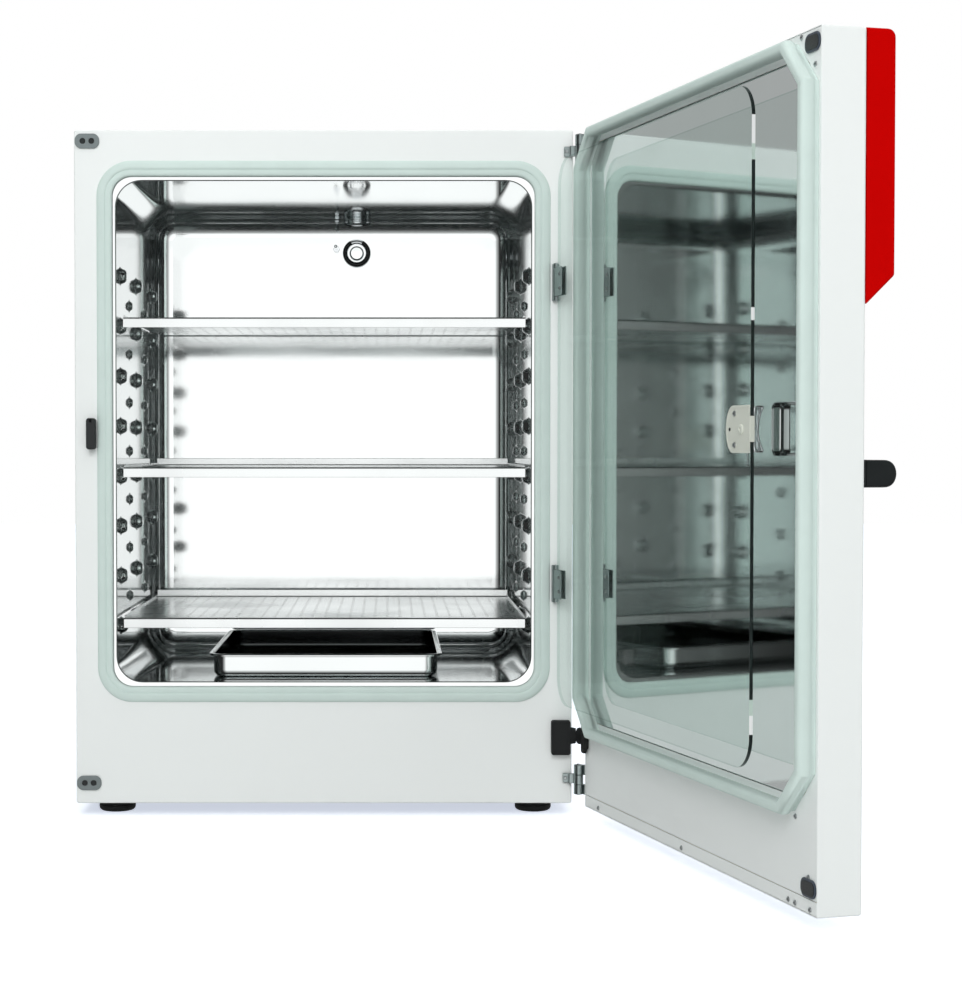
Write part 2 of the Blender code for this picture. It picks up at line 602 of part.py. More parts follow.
def make_glass_door():
    outline = rounded_outline(GLASS_LOW, GLASS_HIGH, GLASS_CORNER, 6)
    hole = [(LATCH_X + 0.007 * math.cos(math.radians(a)), LATCH_Z + 0.007 * math.sin(math.radians(a)))
            for a in range(0, 360, 30)]
    flat_piece("glass_pane", [outline, hole], "front", ahead(GLASS_FRONT), ahead(GLASS_BACK),
               CLEAR_GLASS, GLASS_DOOR)

    half = 0.0295
    plate = [(GLASS_LOW[0], LATCH_Z - half), (-0.295, LATCH_Z - half)]
    for step in range(1, 8):
        turn = math.radians(-90 + 180 * step / 8)
        plate.append((-0.295 + 0.020 * math.cos(turn), LATCH_Z + half * math.sin(turn)))
    plate += [(-0.295, LATCH_Z + half), (GLASS_LOW[0], LATCH_Z + half)]
    flat_piece("glass_latch_plate", [plate], "front", ahead(GLASS_BACK - GAP), ahead(0.0060),
               CREAM_PLASTIC, GLASS_DOOR)


def make_glass_latch():
    """Turn knob whose tongue reaches past the glass into the keeper; released at rest."""
    shaft = rod("glass_latch_knob", (LATCH_X, ahead(0.0115), LATCH_Z), 0.0075, 0.005, "y", CHROME, LATCH, 16)
    join(shaft, box("latch_tongue", (LATCH_X - 0.0045, ahead(0.0155), LATCH_Z - 0.046),
                    (LATCH_X + 0.0045, ahead(0.0130), LATCH_Z + 0.006), CHROME, LATCH))
    join(shaft, rod("latch_collar", (LATCH_X, ahead(0.0165), LATCH_Z), 0.007, 0.013, "y", CHROME, LATCH, 24))
    grip = box("latch_grip", (LATCH_X - 0.009, ahead(0.0345), LATCH_Z - 0.0295),
               (LATCH_X + 0.009, ahead(0.0175), LATCH_Z + 0.0295), CHROME, LATCH, edge=0.0055, segments=3)
    join(shaft, grip)


# ---------------------------------------------------------------- outer door

DOOR_GASKET_LOW = (DOOR_LEFT_X + 0.002, 0.115)
DOOR_GASKET_HIGH = (DOOR_RIGHT_X - 0.002, 1.047)
DOOR_GASKET_WIDTH = 0.016
DOOR_GASKET_CHAMFER = 0.055
HOUSING_LOW_Z = 0.730
HOUSING_REACH = 0.038
RECESS_X = -0.3072
RECESS_SIZE = (0.0905, 0.066, 0.010)


def make_door_case():
    """Outer skin, foam, inner sheet, and the mirror-finish panel with a recess for the latch knob."""
    skin = box("door_skin", (DOOR_LEFT_X, ahead(DOOR_FACE), 0), (DOOR_RIGHT_X, ahead(DOOR_GAP), HOUSING_HEIGHT),
               WHITE_PAINT, OUTER_DOOR, edge=0.002, segments=2)
    cut(skin, box("skin_hollow", (DOOR_LEFT_X + SHEET, ahead(DOOR_FACE - SHEET), SHEET),
                  (DOOR_RIGHT_X - SHEET, ahead(0), HOUSING_HEIGHT - SHEET), WHITE_PAINT, OUTER_DOOR))
    inset = SHEET + GAP
    window = rounded_outline((-0.366, 0.136), (0.365, 1.026), 0.030, 4)
    rim = rounded_outline((DOOR_LEFT_X + inset, inset), (DOOR_RIGHT_X - inset, HOUSING_HEIGHT - inset), 0.002, 1)
    flat_piece("door_liner", [rim, window], "front", ahead(DOOR_GAP + 0.0015), ahead(DOOR_GAP + GAP),
               WHITE_PAINT, OUTER_DOOR)
    panel = open_pan("door_inner_panel", (0.728, 0.887, 0.012), corner=0.0285, floor_edge=0.002, rim=0.006,
                     thickness=LINER_SHEET, mouth=(-0.0005, ahead(DOOR_GAP + 0.0131), 0.581),
                     rotation=(math.pi / 2, 0, 0), look=MIRROR_STEEL, pivot=OUTER_DOOR, arc_steps=4)
    width, height, corner = RECESS_SIZE
    opening = rounded_outline((RECESS_X - width / 2, LATCH_Z - height / 2),
                              (RECESS_X + width / 2, LATCH_Z + height / 2), corner, 3)
    cut(panel, flat_piece("recess_opening", [opening], "front", ahead(DOOR_GAP + 0.006),
                          ahead(DOOR_GAP - 0.006), MIRROR_STEEL, OUTER_DOOR))
    open_pan("latch_recess", (width, height, 0.0115), corner=corner, floor_edge=0.003, rim=0.004,
             thickness=0.0006, mouth=(RECESS_X, ahead(DOOR_GAP + 0.0013), LATCH_Z),
             rotation=(-math.pi / 2, 0, 0), look=MIRROR_STEEL, pivot=OUTER_DOOR, arc_steps=3)
    box("door_insulation", (DOOR_LEFT_X + 0.002, ahead(DOOR_FACE - 0.002), 0.002),
        (DOOR_RIGHT_X - 0.002, ahead(DOOR_GAP + 0.0140), HOUSING_HEIGHT - 0.002), FOAM, OUTER_DOOR)


def make_door_gasket():
    """Magnetic bulb seal: mitred at 45 degrees so that its corners pass the hinges."""
    inner_chamfer = DOOR_GASKET_CHAMFER - DOOR_GASKET_WIDTH * (2 - math.sqrt(2))
    outer = rounded_outline(DOOR_GASKET_LOW, DOOR_GASKET_HIGH, DOOR_GASKET_CHAMFER, 1)
    inner = rounded_outline((DOOR_GASKET_LOW[0] + DOOR_GASKET_WIDTH, DOOR_GASKET_LOW[1] + DOOR_GASKET_WIDTH),
                            (DOOR_GASKET_HIGH[0] - DOOR_GASKET_WIDTH, DOOR_GASKET_HIGH[1] - DOOR_GASKET_WIDTH),
                            inner_chamfer, 1)
    ring = flat_piece("door_gasket", [outer, inner], "front", ahead(DOOR_GAP), ahead(0.0005),
                      SILICONE, OUTER_DOOR)
    bevel(ring, 0.003, 2)


def control_profile(inset):
    """Side outline of the control housing: a 45 degree underside and a rounded top edge."""
    back, front = DOOR_FACE + GAP, DOOR_FACE + HOUSING_REACH - inset
    low, high, edge = HOUSING_LOW_Z + inset * 2.4, HOUSING_HEIGHT - inset, 0.010
    outline = [(back, low), (front, low + (front - back) * 0.9)]
    for step in range(5):
        turn = math.radians(22.5 * step)
        outline.append((front - edge + edge * math.cos(turn), high - edge + edge * math.sin(turn)))
    outline.append((back, high))
    if inset:
        outline[0] = (back - 0.01, low - 0.009)
        outline[-1] = (back - 0.01, high)
    return [(ahead(distance), z) for distance, z in outline]


def make_control_housing():
    """Red control housing across the head of the door, hollow at its back."""
    wall = 0.0025
    case = flat_piece("control_housing", [control_profile(0)], "side", DOOR_LEFT_X, DOOR_RIGHT_X,
                      RED_PAINT, OUTER_DOOR)
    cut(case, flat_piece("control_hollow", [control_profile(wall)], "side", DOOR_LEFT_X + wall,
                         DOOR_RIGHT_X - wall, RED_PAINT, OUTER_DOOR))
    cut(case, box("switch_window", (SWITCH_X - 0.0145, ahead(0.14), SWITCH_Z - 0.0112),
                  (SWITCH_X + 0.0145, ahead(0.110), SWITCH_Z + 0.0112), RED_PAINT, OUTER_DOOR))
    face = DOOR_FACE + HOUSING_REACH
    outline = rounded_outline((-0.145, 0.850), (0.145, 0.995), 0.008, 4)
    flat_piece("display_panel", [outline], "front", ahead(face + 0.0018), ahead(face + GAP),
               DISPLAY_GLASS, OUTER_DOOR)
    box("controller_board", (-0.120, ahead(0.1022), 0.860), (0.120, ahead(0.1005), 0.985), CIRCUIT_GREEN,
        OUTER_DOOR)


def make_power_switch():
    """Rocker: a drum on the joint's axis with a shallow valley across its face, tilted to off."""
    radius, valley = 0.011, 0.0068
    tilt = math.radians(-9)
    outline = []
    for step in range(13):
        turn = math.radians(50 + 260 * step / 12) - tilt
        outline.append((radius * math.cos(turn), radius * math.sin(turn)))
    outline.append((valley * math.cos(tilt), -valley * math.sin(tilt)))
    outline = [(ahead(SWITCH_AXIS_AHEAD + forward), SWITCH_Z + up) for forward, up in outline]
    flat_piece("power_switch", [outline], "side", SWITCH_X - 0.013, SWITCH_X + 0.013, BLACK_PLASTIC, SWITCH)


HANDLE_LEFT_X = DOOR_LEFT_X + 0.004
HANDLE_LENGTH = 0.150
HANDLE_Z = 0.528


def make_handle():
    """Bar handle with a rounded nose and a finger recess from below, on its own base."""
    half, depth, foot = 0.0165, 0.045, 0.004
    right = HANDLE_LEFT_X + HANDLE_LENGTH
    base_face = DOOR_FACE + GAP
    outline = rounded_outline((HANDLE_LEFT_X, HANDLE_Z - half), (right, HANDLE_Z + half), 0.004, 2)
    flat_piece("handle_base", [outline], "front", ahead(base_face + foot), ahead(base_face),
               BLACK_PLASTIC, OUTER_DOOR)
    back = DOOR_FACE + 2 * GAP + foot
    nose = 0.014
    profile = [(back, HANDLE_Z - half)]
    for step in range(9):
        turn = math.radians(-90 + 22.5 * step)
        profile.append((DOOR_FACE + depth - nose + nose * math.cos(turn), HANDLE_Z + half * math.sin(turn)))
    profile.append((back, HANDLE_Z + half))
    grip = flat_piece("door_handle", [[(ahead(d), z) for d, z in profile]], "side", HANDLE_LEFT_X, right,
                      BLACK_PLASTIC, OUTER_DOOR)
    bevel(grip, 0.002, 2)
    smooth(grip, 40)
    cut(grip, box("finger_recess", (HANDLE_LEFT_X + 0.014, ahead(back + 0.020), HANDLE_Z - half - 0.01),
                  (right - 0.014, ahead(back - 0.01), HANDLE_Z + half - 0.006), BLACK_PLASTIC, OUTER_DOOR))


def make_door_trim():
    for level, low_z in (("upper", 1.027), ("lower", 0.021)):
        plug_cover("%s_door_plug" % level, DOOR_LEFT_X + 0.001, low_z, DOOR_GAP - 0.0025, DOOR_GAP, OUTER_DOOR)
    box("door_cable_gland", (0.370, ahead(DOOR_GAP), 0.088), (0.386, ahead(0.0165), 0.126), BLACK_RUBBER,
        OUTER_DOOR, edge=0.0015)


# ---------------------------------------------------------------- shelves and water pan

SHELF_FRONT_Y = FRONT_Y + 0.030
SHELF_BACK_Y = CHAMBER_BACK_Y - 0.026


def make_shelf(name, top_z):
    """Sheet shelf with a front lip turned down and a rear stop turned up."""
    lip, stop, sheet = 0.016, 0.012, SHELF_SHEET
    outline = [(SHELF_FRONT_Y, top_z), (SHELF_FRONT_Y, top_z - lip), (SHELF_FRONT_Y + sheet, top_z - lip),
               (SHELF_FRONT_Y + sheet, top_z - sheet), (SHELF_BACK_Y, top_z - sheet),
               (SHELF_BACK_Y, top_z + stop), (SHELF_BACK_Y - sheet, top_z + stop), (SHELF_BACK_Y - sheet, top_z)]
    flat_piece(name, [outline], "side", -SHELF_HALF_WIDTH, SHELF_HALF_WIDTH, POLISHED_STEEL)


def make_water_pan():
    width, length, height, sheet = 0.359, 0.430, 0.036, 0.001
    middle_y = FRONT_Y + 0.066 + length / 2
    open_pan("water_pan", (width, length, height), corner=0.022, floor_edge=0.008, rim=0.009, thickness=sheet,
             mouth=(0, middle_y, CHAMBER_FLOOR_Z + GAP + sheet + height), rotation=(0, 0, 0),
             look=POLISHED_STEEL, arc_steps=4)


make_outer_shell()
make_front_frame()
make_rear_cover()
make_base_plate()
make_feet()
make_chamber()
make_chamber_heater()
make_insulation()
make_chamber_gasket()
make_sensors()
make_glass_strike()
make_housing_trim()
make_services()
for hinge_level, (hinge_low, hinge_high) in OUTER_HINGES.items():
    make_outer_hinge(hinge_level, hinge_low, hinge_high)
for hinge_level, hinge_middle in GLASS_HINGE_LEVELS.items():
    make_glass_hinge(hinge_level, hinge_middle)
make_glass_door()
make_glass_latch()
make_door_case()
make_door_gasket()
make_control_housing()
make_power_switch()
make_handle()
make_door_trim()
for shelf_name, shelf_top_z in SHELF_TOPS.items():
    make_shelf(shelf_name, shelf_top_z)
make_water_pan()
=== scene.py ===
"""Looks of a laboratory incubator: fine meshes, finishes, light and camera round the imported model.

Metres, +Z up, and the cabinet's front faces -Y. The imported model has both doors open. Door pieces are
built with the doors shut, where they are square to the axes, and are then turned open with their door.
"""
import json
import math

import bmesh
import bpy
from mathutils import Matrix, Vector

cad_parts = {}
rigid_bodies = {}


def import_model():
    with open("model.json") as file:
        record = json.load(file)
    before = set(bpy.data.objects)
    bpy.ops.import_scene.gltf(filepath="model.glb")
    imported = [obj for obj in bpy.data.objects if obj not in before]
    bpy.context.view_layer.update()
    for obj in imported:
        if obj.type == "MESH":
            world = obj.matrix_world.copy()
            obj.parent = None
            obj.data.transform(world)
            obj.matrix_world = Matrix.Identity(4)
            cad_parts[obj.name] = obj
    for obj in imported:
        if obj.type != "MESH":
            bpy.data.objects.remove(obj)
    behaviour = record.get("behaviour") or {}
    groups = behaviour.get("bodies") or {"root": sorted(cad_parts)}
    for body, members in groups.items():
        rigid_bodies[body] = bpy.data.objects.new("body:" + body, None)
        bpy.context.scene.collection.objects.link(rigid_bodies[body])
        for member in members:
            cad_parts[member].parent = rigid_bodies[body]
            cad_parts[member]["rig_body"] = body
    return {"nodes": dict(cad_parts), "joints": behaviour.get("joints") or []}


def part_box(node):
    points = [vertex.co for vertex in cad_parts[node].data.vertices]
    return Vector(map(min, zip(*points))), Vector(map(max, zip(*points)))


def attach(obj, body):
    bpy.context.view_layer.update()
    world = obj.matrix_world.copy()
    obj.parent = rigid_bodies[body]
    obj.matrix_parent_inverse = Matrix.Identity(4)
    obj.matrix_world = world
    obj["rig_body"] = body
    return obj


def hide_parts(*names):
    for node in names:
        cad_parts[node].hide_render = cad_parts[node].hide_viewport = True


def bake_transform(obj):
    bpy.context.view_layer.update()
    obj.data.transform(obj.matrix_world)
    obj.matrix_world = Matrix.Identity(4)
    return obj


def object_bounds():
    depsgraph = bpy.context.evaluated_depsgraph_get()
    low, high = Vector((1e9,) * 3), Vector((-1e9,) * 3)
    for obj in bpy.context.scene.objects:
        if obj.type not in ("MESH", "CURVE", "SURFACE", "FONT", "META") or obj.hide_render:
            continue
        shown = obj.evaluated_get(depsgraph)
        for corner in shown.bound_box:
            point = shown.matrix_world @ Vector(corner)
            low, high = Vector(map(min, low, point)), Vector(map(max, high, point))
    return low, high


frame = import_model()
cad_low, cad_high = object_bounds()

JOINTS = {joint["name"]: joint for joint in frame["joints"]}


def opening(joint_name):
    """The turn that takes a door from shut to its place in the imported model."""
    joint = JOINTS[joint_name]
    pivot = Matrix.Translation(joint["pos_m"])
    angle = math.radians(-joint["range_deg"][0])
    return pivot @ Matrix.Rotation(angle, 4, Vector(joint["axis"])) @ pivot.inverted()


OUTER_OPEN = opening("outer_door_hinge")
GLASS_OPEN = opening("glass_door_hinge")
TURNS = {"outer_door": OUTER_OPEN, "power_switch": OUTER_OPEN,
         "glass_door": GLASS_OPEN, "glass_latch": GLASS_OPEN}


def turn_of(body):
    """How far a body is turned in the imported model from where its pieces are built."""
    return TURNS.get(body, Matrix.Identity(4))


def body_of(node):
    return frame["nodes"][node]["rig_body"]


def shut_box(node):
    """Lowest and highest corners of a CAD node, with its door shut if it belongs to one."""
    back = turn_of(body_of(node)).inverted()
    points = [back @ vertex.co for vertex in frame["nodes"][node].data.vertices]
    low = Vector(min(point[axis] for point in points) for axis in range(3))
    high = Vector(max(point[axis] for point in points) for axis in range(3))
    return low, high


def shut_axis(joint_name):
    """A point on a door part's axis, with the door shut."""
    joint = JOINTS[joint_name]
    return turn_of(joint["child"]).inverted() @ Vector(joint["pos_m"])


FACE_LOW, FACE_HIGH = shut_box("front_frame")
FRONT_Y = FACE_LOW.y
FRONT, REAR = (0, -1, 0), (0, 1, 0)


def ahead(distance):
    """The Y of a plane that lies this far in front of the cabinet's face."""
    return FRONT_Y - distance


# ---------------------------------------------------------------- materials

MATERIALS = {}


class Nodes:
    """A material's or world's node tree, with short ways to add the nodes used here."""

    def __init__(self, owner):
        owner.use_nodes = True
        self.tree = owner.node_tree
        self.tree.nodes.clear()
        self.coordinates = self.add("TexCoord").outputs
        self.place = self.coordinates["Object"]

    def add(self, kind, inputs=None, **settings):
        """A node; an input is a value, or the socket of another node to link it to."""
        node = self.tree.nodes.new("ShaderNode" + kind)
        for key, value in settings.items():
            setattr(node, key, value)
        self.fill(node, inputs or {})
        return node

    def fill(self, node, inputs):
        for key, value in inputs.items():
            socket = node.inputs[key]
            if isinstance(value, bpy.types.NodeSocket):
                self.tree.links.new(value, socket)
            elif socket.type == "RGBA":
                socket.default_value = (*value, 1.0)
            else:
                socket.default_value = value

    def show(self, shader, target="Material"):
        self.add("Output" + target, {"Surface": shader.outputs[0]})

    def noise(self, scale, detail=3.0, stretch=(1, 1, 1)):
        mapped = self.add("Mapping", {"Vector": self.place, "Scale": stretch}).outputs["Vector"]
        return self.add("TexNoise", {"Vector": mapped, "Scale": scale, "Detail": detail}).outputs["Fac"]

    def rescaled(self, value, start, end, low=0.0, high=1.0):
        """The value's range from start to end, spread from low to high."""
        limits = {"From Min": start, "From Max": end, "To Min": low, "To Max": high}
        return self.add("MapRange", {"Value": value, **limits}).outputs["Result"]

    def clouded(self, noise, low, high):
        """A noise's middle range spread from low to high."""
        return self.rescaled(noise, 0.3, 0.7, low, high)

    def math(self, operation, *values):
        return self.add("Math", dict(enumerate(values)), operation=operation).outputs["Value"]

    def dot(self, vector, direction):
        return self.add("VectorMath", {0: vector, 1: direction}, operation="DOT_PRODUCT").outputs["Value"]

    def parts(self, vector):
        return self.add("SeparateXYZ", {0: vector}).outputs

    def mix(self, factor, first, second):
        return self.add("Mix", {0: factor, 6: first, 7: second}, data_type="RGBA").outputs[2]

    def mix_shaders(self, share, first, second):
        return self.add("MixShader", {0: share, 1: first.outputs["BSDF"], 2: second.outputs["BSDF"]})

    def ramp(self, factor, stops, interpolation="LINEAR"):
        """A colour for each stretch of the factor, from (position, colour) pairs."""
        node = self.add("ValToRGB", {"Fac": factor})
        node.color_ramp.interpolation = interpolation
        while len(node.color_ramp.elements) < len(stops):
            node.color_ramp.elements.new(0.5)
        for element, (position, colour) in zip(node.color_ramp.elements, stops):
            element.position = position
            element.color = (*colour, 1.0)
        return node.outputs["Color"]

    def bump(self, height, strength, distance, under=None):
        inputs = {"Strength": strength, "Distance": distance, "Height": height}
        if under is not None:
            inputs["Normal"] = under
        return self.add("Bump", inputs).outputs["Normal"]

    def across_door(self, turn):
        """How far a point is from the middle of a shut door towards its free side."""
        shift = self.add("VectorMath", {0: self.place, 1: turn.translation}, operation="SUBTRACT")
        return self.dot(shift.outputs["Vector"], turn.to_3x3() @ Vector((-1, 0, 0)))


def new_material(name):
    MATERIALS[name] = bpy.data.materials.new(name)
    return Nodes(MATERIALS[name])


def surface(name, colour, roughness, metallic=0.0, mottle=(0.04, 9.0), grain=(0.05, 900.0),
            stretch=(1, 1, 1), spread=0.06, coat=0.0, wave=None, extra=None):
    """Nodes and shader of a finish with mottled colour, uneven roughness and a grain on its surface.

    Mottle, grain and wave are (strength, scale). A wave is a slow bump that bends what bright steel reflects.
    """
    nodes = new_material(name)
    cloud = nodes.noise(mottle[1], 4.0)
    normal = nodes.bump(nodes.noise(grain[1], 2.0, stretch), grain[0], 0.0004)
    if wave:
        normal = nodes.bump(nodes.noise(wave[1], 1.0), wave[0], 0.004, normal)
    darker = tuple(channel * (1.0 - mottle[0]) for channel in colour)
    shader = nodes.add("BsdfPrincipled", {
        "Base Color": nodes.mix(nodes.clouded(cloud, 0.0, 1.0), darker, colour),
        "Roughness": nodes.clouded(cloud, roughness - spread / 2, roughness + spread / 2),
        "Normal": normal,
        "Metallic": metallic,
        "Coat Weight": coat,
        "Coat Roughness": 0.08,
        **(extra or {})})
    return nodes, shader


def finish(*basics, **settings):
    nodes, shader = surface(*basics, **settings)
    nodes.show(shader)


def sheet_steel(roughness, wave, stretch=(1, 1, 1)):
    """Settings of bright sheet steel, with the haze that polishing by hand leaves."""
    return {"roughness": roughness, "metallic": 1.0, "mottle": (0.05, 5.0), "grain": (0.02, 700.0),
            "stretch": stretch, "spread": roughness * 0.6, "wave": wave}


def chamber_steel():
    """The liner's finish: polished, with a grinding haze on its flat side walls."""
    nodes, shader = surface("chamber_steel", (0.86, 0.88, 0.88), **sheet_steel(0.07, (0.05, 7.0)))
    haze = nodes.add("BsdfAnisotropic", {"Color": (0.88, 0.91, 0.905), "Roughness": 0.55})
    sideways = nodes.math("ABSOLUTE", nodes.parts(nodes.add("NewGeometry").outputs["Normal"])["X"])
    nodes.show(nodes.mix_shaders(nodes.rescaled(sideways, 0.96, 1.0, high=0.12), shader, haze))


def clear_glass():
    """Thin clear glass: straight-through, with a reflection that grows towards grazing."""
    nodes = new_material("clear_glass")
    clear = nodes.add("BsdfTransparent", {"Color": (0.955, 0.975, 0.968)})
    gloss = nodes.add("BsdfAnisotropic", {"Roughness": nodes.clouded(nodes.noise(14.0, 4.0), 0.01, 0.035)})
    steep = nodes.math("POWER", nodes.add("LayerWeight").outputs["Facing"], 5.0)
    nodes.show(nodes.mix_shaders(nodes.math("MULTIPLY_ADD", steep, 0.35, 0.012), clear, gloss))


def ground_edge():
    """The pane's ground edge: dark along the free side, with painted highlights as glowing bands, and almost
    unseen elsewhere.
    """
    nodes, shader = surface("glass_edge", (0.010, 0.016, 0.016), 0.10, coat=0.4, mottle=(0.3, 30.0))
    # Painted highlights: at these heights the edge glows white or pale in place of reflections; elsewhere it
    # stays dark.
    dark, pale, white = (0.0, 0.0, 0.0), (0.50, 0.62, 0.56), (0.85, 0.87, 0.87)
    painted_glints = ((0.0, dark), (0.204, white), (0.227, pale), (0.248, dark), (0.711, white), (0.727, dark),
              (0.907, pale), (0.926, white), (0.963, dark))
    colour = nodes.ramp(nodes.parts(nodes.place)["Z"], painted_glints, "CONSTANT")
    nodes.fill(shader, {"Emission Color": colour, "Emission Strength": 0.85})
    clear_until, dark_from = 0.300, 0.320
    free_side = nodes.rescaled(nodes.across_door(GLASS_OPEN), clear_until, dark_from)
    clear = nodes.add("BsdfTransparent", {"Color": (0.80, 0.86, 0.84)})
    nodes.show(nodes.mix_shaders(free_side, clear, shader))


def make_materials():
    """Every finish. The red has almost no sheen, so that its colour stays full."""
    finish("white_paint", (0.87, 0.89, 0.885), 0.38, mottle=(0.012, 3.0), grain=(0.10, 1500.0))
    finish("polished_steel", (0.86, 0.88, 0.88), **sheet_steel(0.07, (0.05, 7.0)))
    finish("shelf_steel", (0.86, 0.88, 0.88), **sheet_steel(0.26, (0.02, 9.0), (1, 0.02, 1)))
    finish("pan_steel", (0.80, 0.82, 0.82), **sheet_steel(0.06, (0.02, 9.0)))
    # Painted shade: this dark steel on the pan's inner walls stands in for the shade inside the pan.
    finish("pan_inside", (0.10, 0.11, 0.11), **sheet_steel(0.12, (0.02, 9.0)))
    finish("mirror_steel", (0.72, 0.76, 0.755), **sheet_steel(0.03, (0.006, 4.0)))
    finish("zinc_steel", (0.60, 0.63, 0.64), 0.34, metallic=1.0, mottle=(0.18, 60.0))
    finish("hinge_steel", (0.40, 0.46, 0.46), 0.33, metallic=1.0, mottle=(0.25, 45.0))
    finish("chrome", (0.82, 0.84, 0.86), 0.07, metallic=1.0, mottle=(0.03, 9.0), grain=(0.01, 900.0),
           spread=0.03)
    finish("silicone", (0.645, 0.755, 0.72), 0.52, mottle=(0.05, 22.0), grain=(0.12, 1300.0))
    finish("red_paint", (0.56, 0.0008, 0.0006), 0.42, mottle=(0.05, 6.0),
           extra={"Specular IOR Level": 0.02})
    finish("black_plastic", (0.012, 0.015, 0.016), 0.42, mottle=(0.2, 50.0), grain=(0.35, 2200.0))
    finish("grey_plastic", (0.20, 0.23, 0.235), 0.48, mottle=(0.12, 9.0), grain=(0.25, 2000.0))
    finish("navy_plastic", (0.045, 0.060, 0.085), 0.40, mottle=(0.2, 9.0), grain=(0.25, 2000.0))
    finish("cream_plastic", (0.66, 0.68, 0.61), 0.45, mottle=(0.06, 9.0), grain=(0.15, 1800.0))
    finish("black_rubber", (0.016, 0.017, 0.018), 0.75, mottle=(0.3, 35.0), grain=(0.4, 1500.0))
    finish("display_glass", (0.010, 0.012, 0.015), 0.08, mottle=(0.1, 9.0), grain=(0.0, 900.0), coat=1.0)
    finish("insulation_foam", (0.85, 0.78, 0.52), 0.9, mottle=(0.15, 40.0), grain=(0.6, 500.0))
    finish("electronics_case", (0.55, 0.57, 0.58), 0.4, metallic=1.0, mottle=(0.2, 50.0))
    finish("circuit_board", (0.03, 0.20, 0.08), 0.4, mottle=(0.25, 120.0), coat=0.3)
    finish("brass", (0.75, 0.56, 0.25), 0.27, metallic=1.0, mottle=(0.15, 40.0))
    finish("figures", (0.20, 0.75, 0.50), 0.4,
           extra={"Emission Color": (0.25, 0.95, 0.65), "Emission Strength": 1.2})
    chamber_steel()
    clear_glass()
    ground_edge()


# Record slots of the finishes whose slot has another name
SLOTS = {"glass_edge": "clear_glass", "figures": "display_glass", "navy_plastic": "grey_plastic",
         **dict.fromkeys(("shelf_steel", "pan_steel", "pan_inside", "chamber_steel"), "polished_steel")}


def slot_of(look):
    return SLOTS.get(look, look)


# ---------------------------------------------------------------- forms: points and faces, before meshes

# For a plane across each axis: its two own axes, then the one it faces
AXES = {"x": (1, 2, 0), "y": (0, 2, 1), "z": (0, 1, 2)}


def turns(steps, start=0.0, end=90.0):
    """Angles in radians at even steps between two angles in degrees."""
    return [math.radians(start + (end - start) * step / steps) for step in range(steps + 1)]


def full_turn(sides):
    return turns(sides, 0, 360)[:-1]


def soft(radius, steps):
    """Points of a rounded edge, as distances from the two faces that it joins."""
    return [(radius * (1 - math.cos(turn)), radius * (1 - math.sin(turn))) for turn in turns(steps)]


def rounded(low, high, radius, arc=6):
    """Points round a rounded rectangle, anticlockwise; one arc step gives plain chamfers."""
    centres = ((high[0] - radius, low[1] + radius), (high[0] - radius, high[1] - radius),
               (low[0] + radius, high[1] - radius), (low[0] + radius, low[1] + radius))
    return [(across + radius * math.cos(turn), up + radius * math.sin(turn))
            for quarter, (across, up) in enumerate(centres)
            for turn in turns(arc, 90 * (quarter - 1), 90 * quarter)]


def inset(low, high, radius, step_in, arc=6, least=0.0002):
    """The same rounded rectangle, moved inwards; a negative step moves it outwards."""
    inner_low = (low[0] + step_in, low[1] + step_in)
    inner_high = (high[0] - step_in, high[1] - step_in)
    return rounded(inner_low, inner_high, max(radius - step_in, least), arc)


def circle(at, radius, sides=24):
    return [(at[0] + radius * math.cos(turn), at[1] + radius * math.sin(turn)) for turn in full_turn(sides)]


def flat(corner, across="y"):
    """The two coordinates of a point that a plane across an axis keeps."""
    along, up, _ = AXES[across]
    return corner[along], corner[up]


def lay(outline, level, across="y"):
    """Points drawn in a plane put at a level along the axis they don't use."""
    along, up, out = AXES[across]
    points = []
    for first, second in outline:
        point = [0.0, 0.0, 0.0]
        point[along], point[up], point[out] = first, second, level
        points.append(tuple(point))
    return points


def rims(profile, low, high, radius, arc=6, across="y"):
    """Loops round a rounded rectangle, from (inset, level) pairs."""
    return [lay(inset(low, high, radius, step_in, arc), level, across) for step_in, level in profile]


def skin(loops, closed=False, caps=(True, True)):
    """A form through loops of equally many points; closed joins the last loop to the first."""
    count = len(loops[0])
    points = [point for loop in loops for point in loop]
    faces = []
    for row in range(len(loops) if closed else len(loops) - 1):
        here = row * count
        there = (row + 1) % len(loops) * count
        for step in range(count):
            after = (step + 1) % count
            faces.append((here + step, here + after, there + after, there + step))
    if not closed and caps[0]:
        faces.append(tuple(range(count - 1, -1, -1)))
    if not closed and caps[1]:
        last = (len(loops) - 1) * count
        faces.append(tuple(range(last, last + count)))
    return points, faces


def moved(form, matrix):
    points, faces = form
    return [tuple(matrix @ Vector(point)) for point in points], faces


def joined(*forms):
    points, faces = [], []
    for more_points, more_faces in forms:
        start = len(points)
        points += more_points
        faces += [tuple(index + start for index in face) for face in more_faces]
    return points, faces


def slab(low, high, across="y", corner=0.002, edge=0.0006, arc=4):
    """A plate with rounded corners and rounded rims, its thickness along one axis."""
    along = AXES[across][2]
    rim = soft(edge, arc)
    levels = [(step_in, low[along] + rise) for rise, step_in in rim]
    levels += [(step_in, high[along] - rise) for rise, step_in in reversed(rim)]
    return skin(rims(levels, flat(low, across), flat(high, across), corner, arc, across))


def bar(sides, reach, heights, **settings):
    """A slab between two X values, two distances ahead of the cabinet's face and two heights."""
    low = (sides[0], ahead(reach[1]), heights[0])
    high = (sides[1], ahead(reach[0]), heights[1])
    return slab(low, high, **settings)


def off(corner, x, y, z):
    """A point at a distance from a corner."""
    return corner + Vector((x, y, z))


def aim(at, towards):
    """The matrix that stands a form drawn along +Z at a point, facing a direction."""
    turn = Vector((0, 0, 1)).rotation_difference(Vector(towards))
    return Matrix.Translation(at) @ turn.to_matrix().to_4x4()


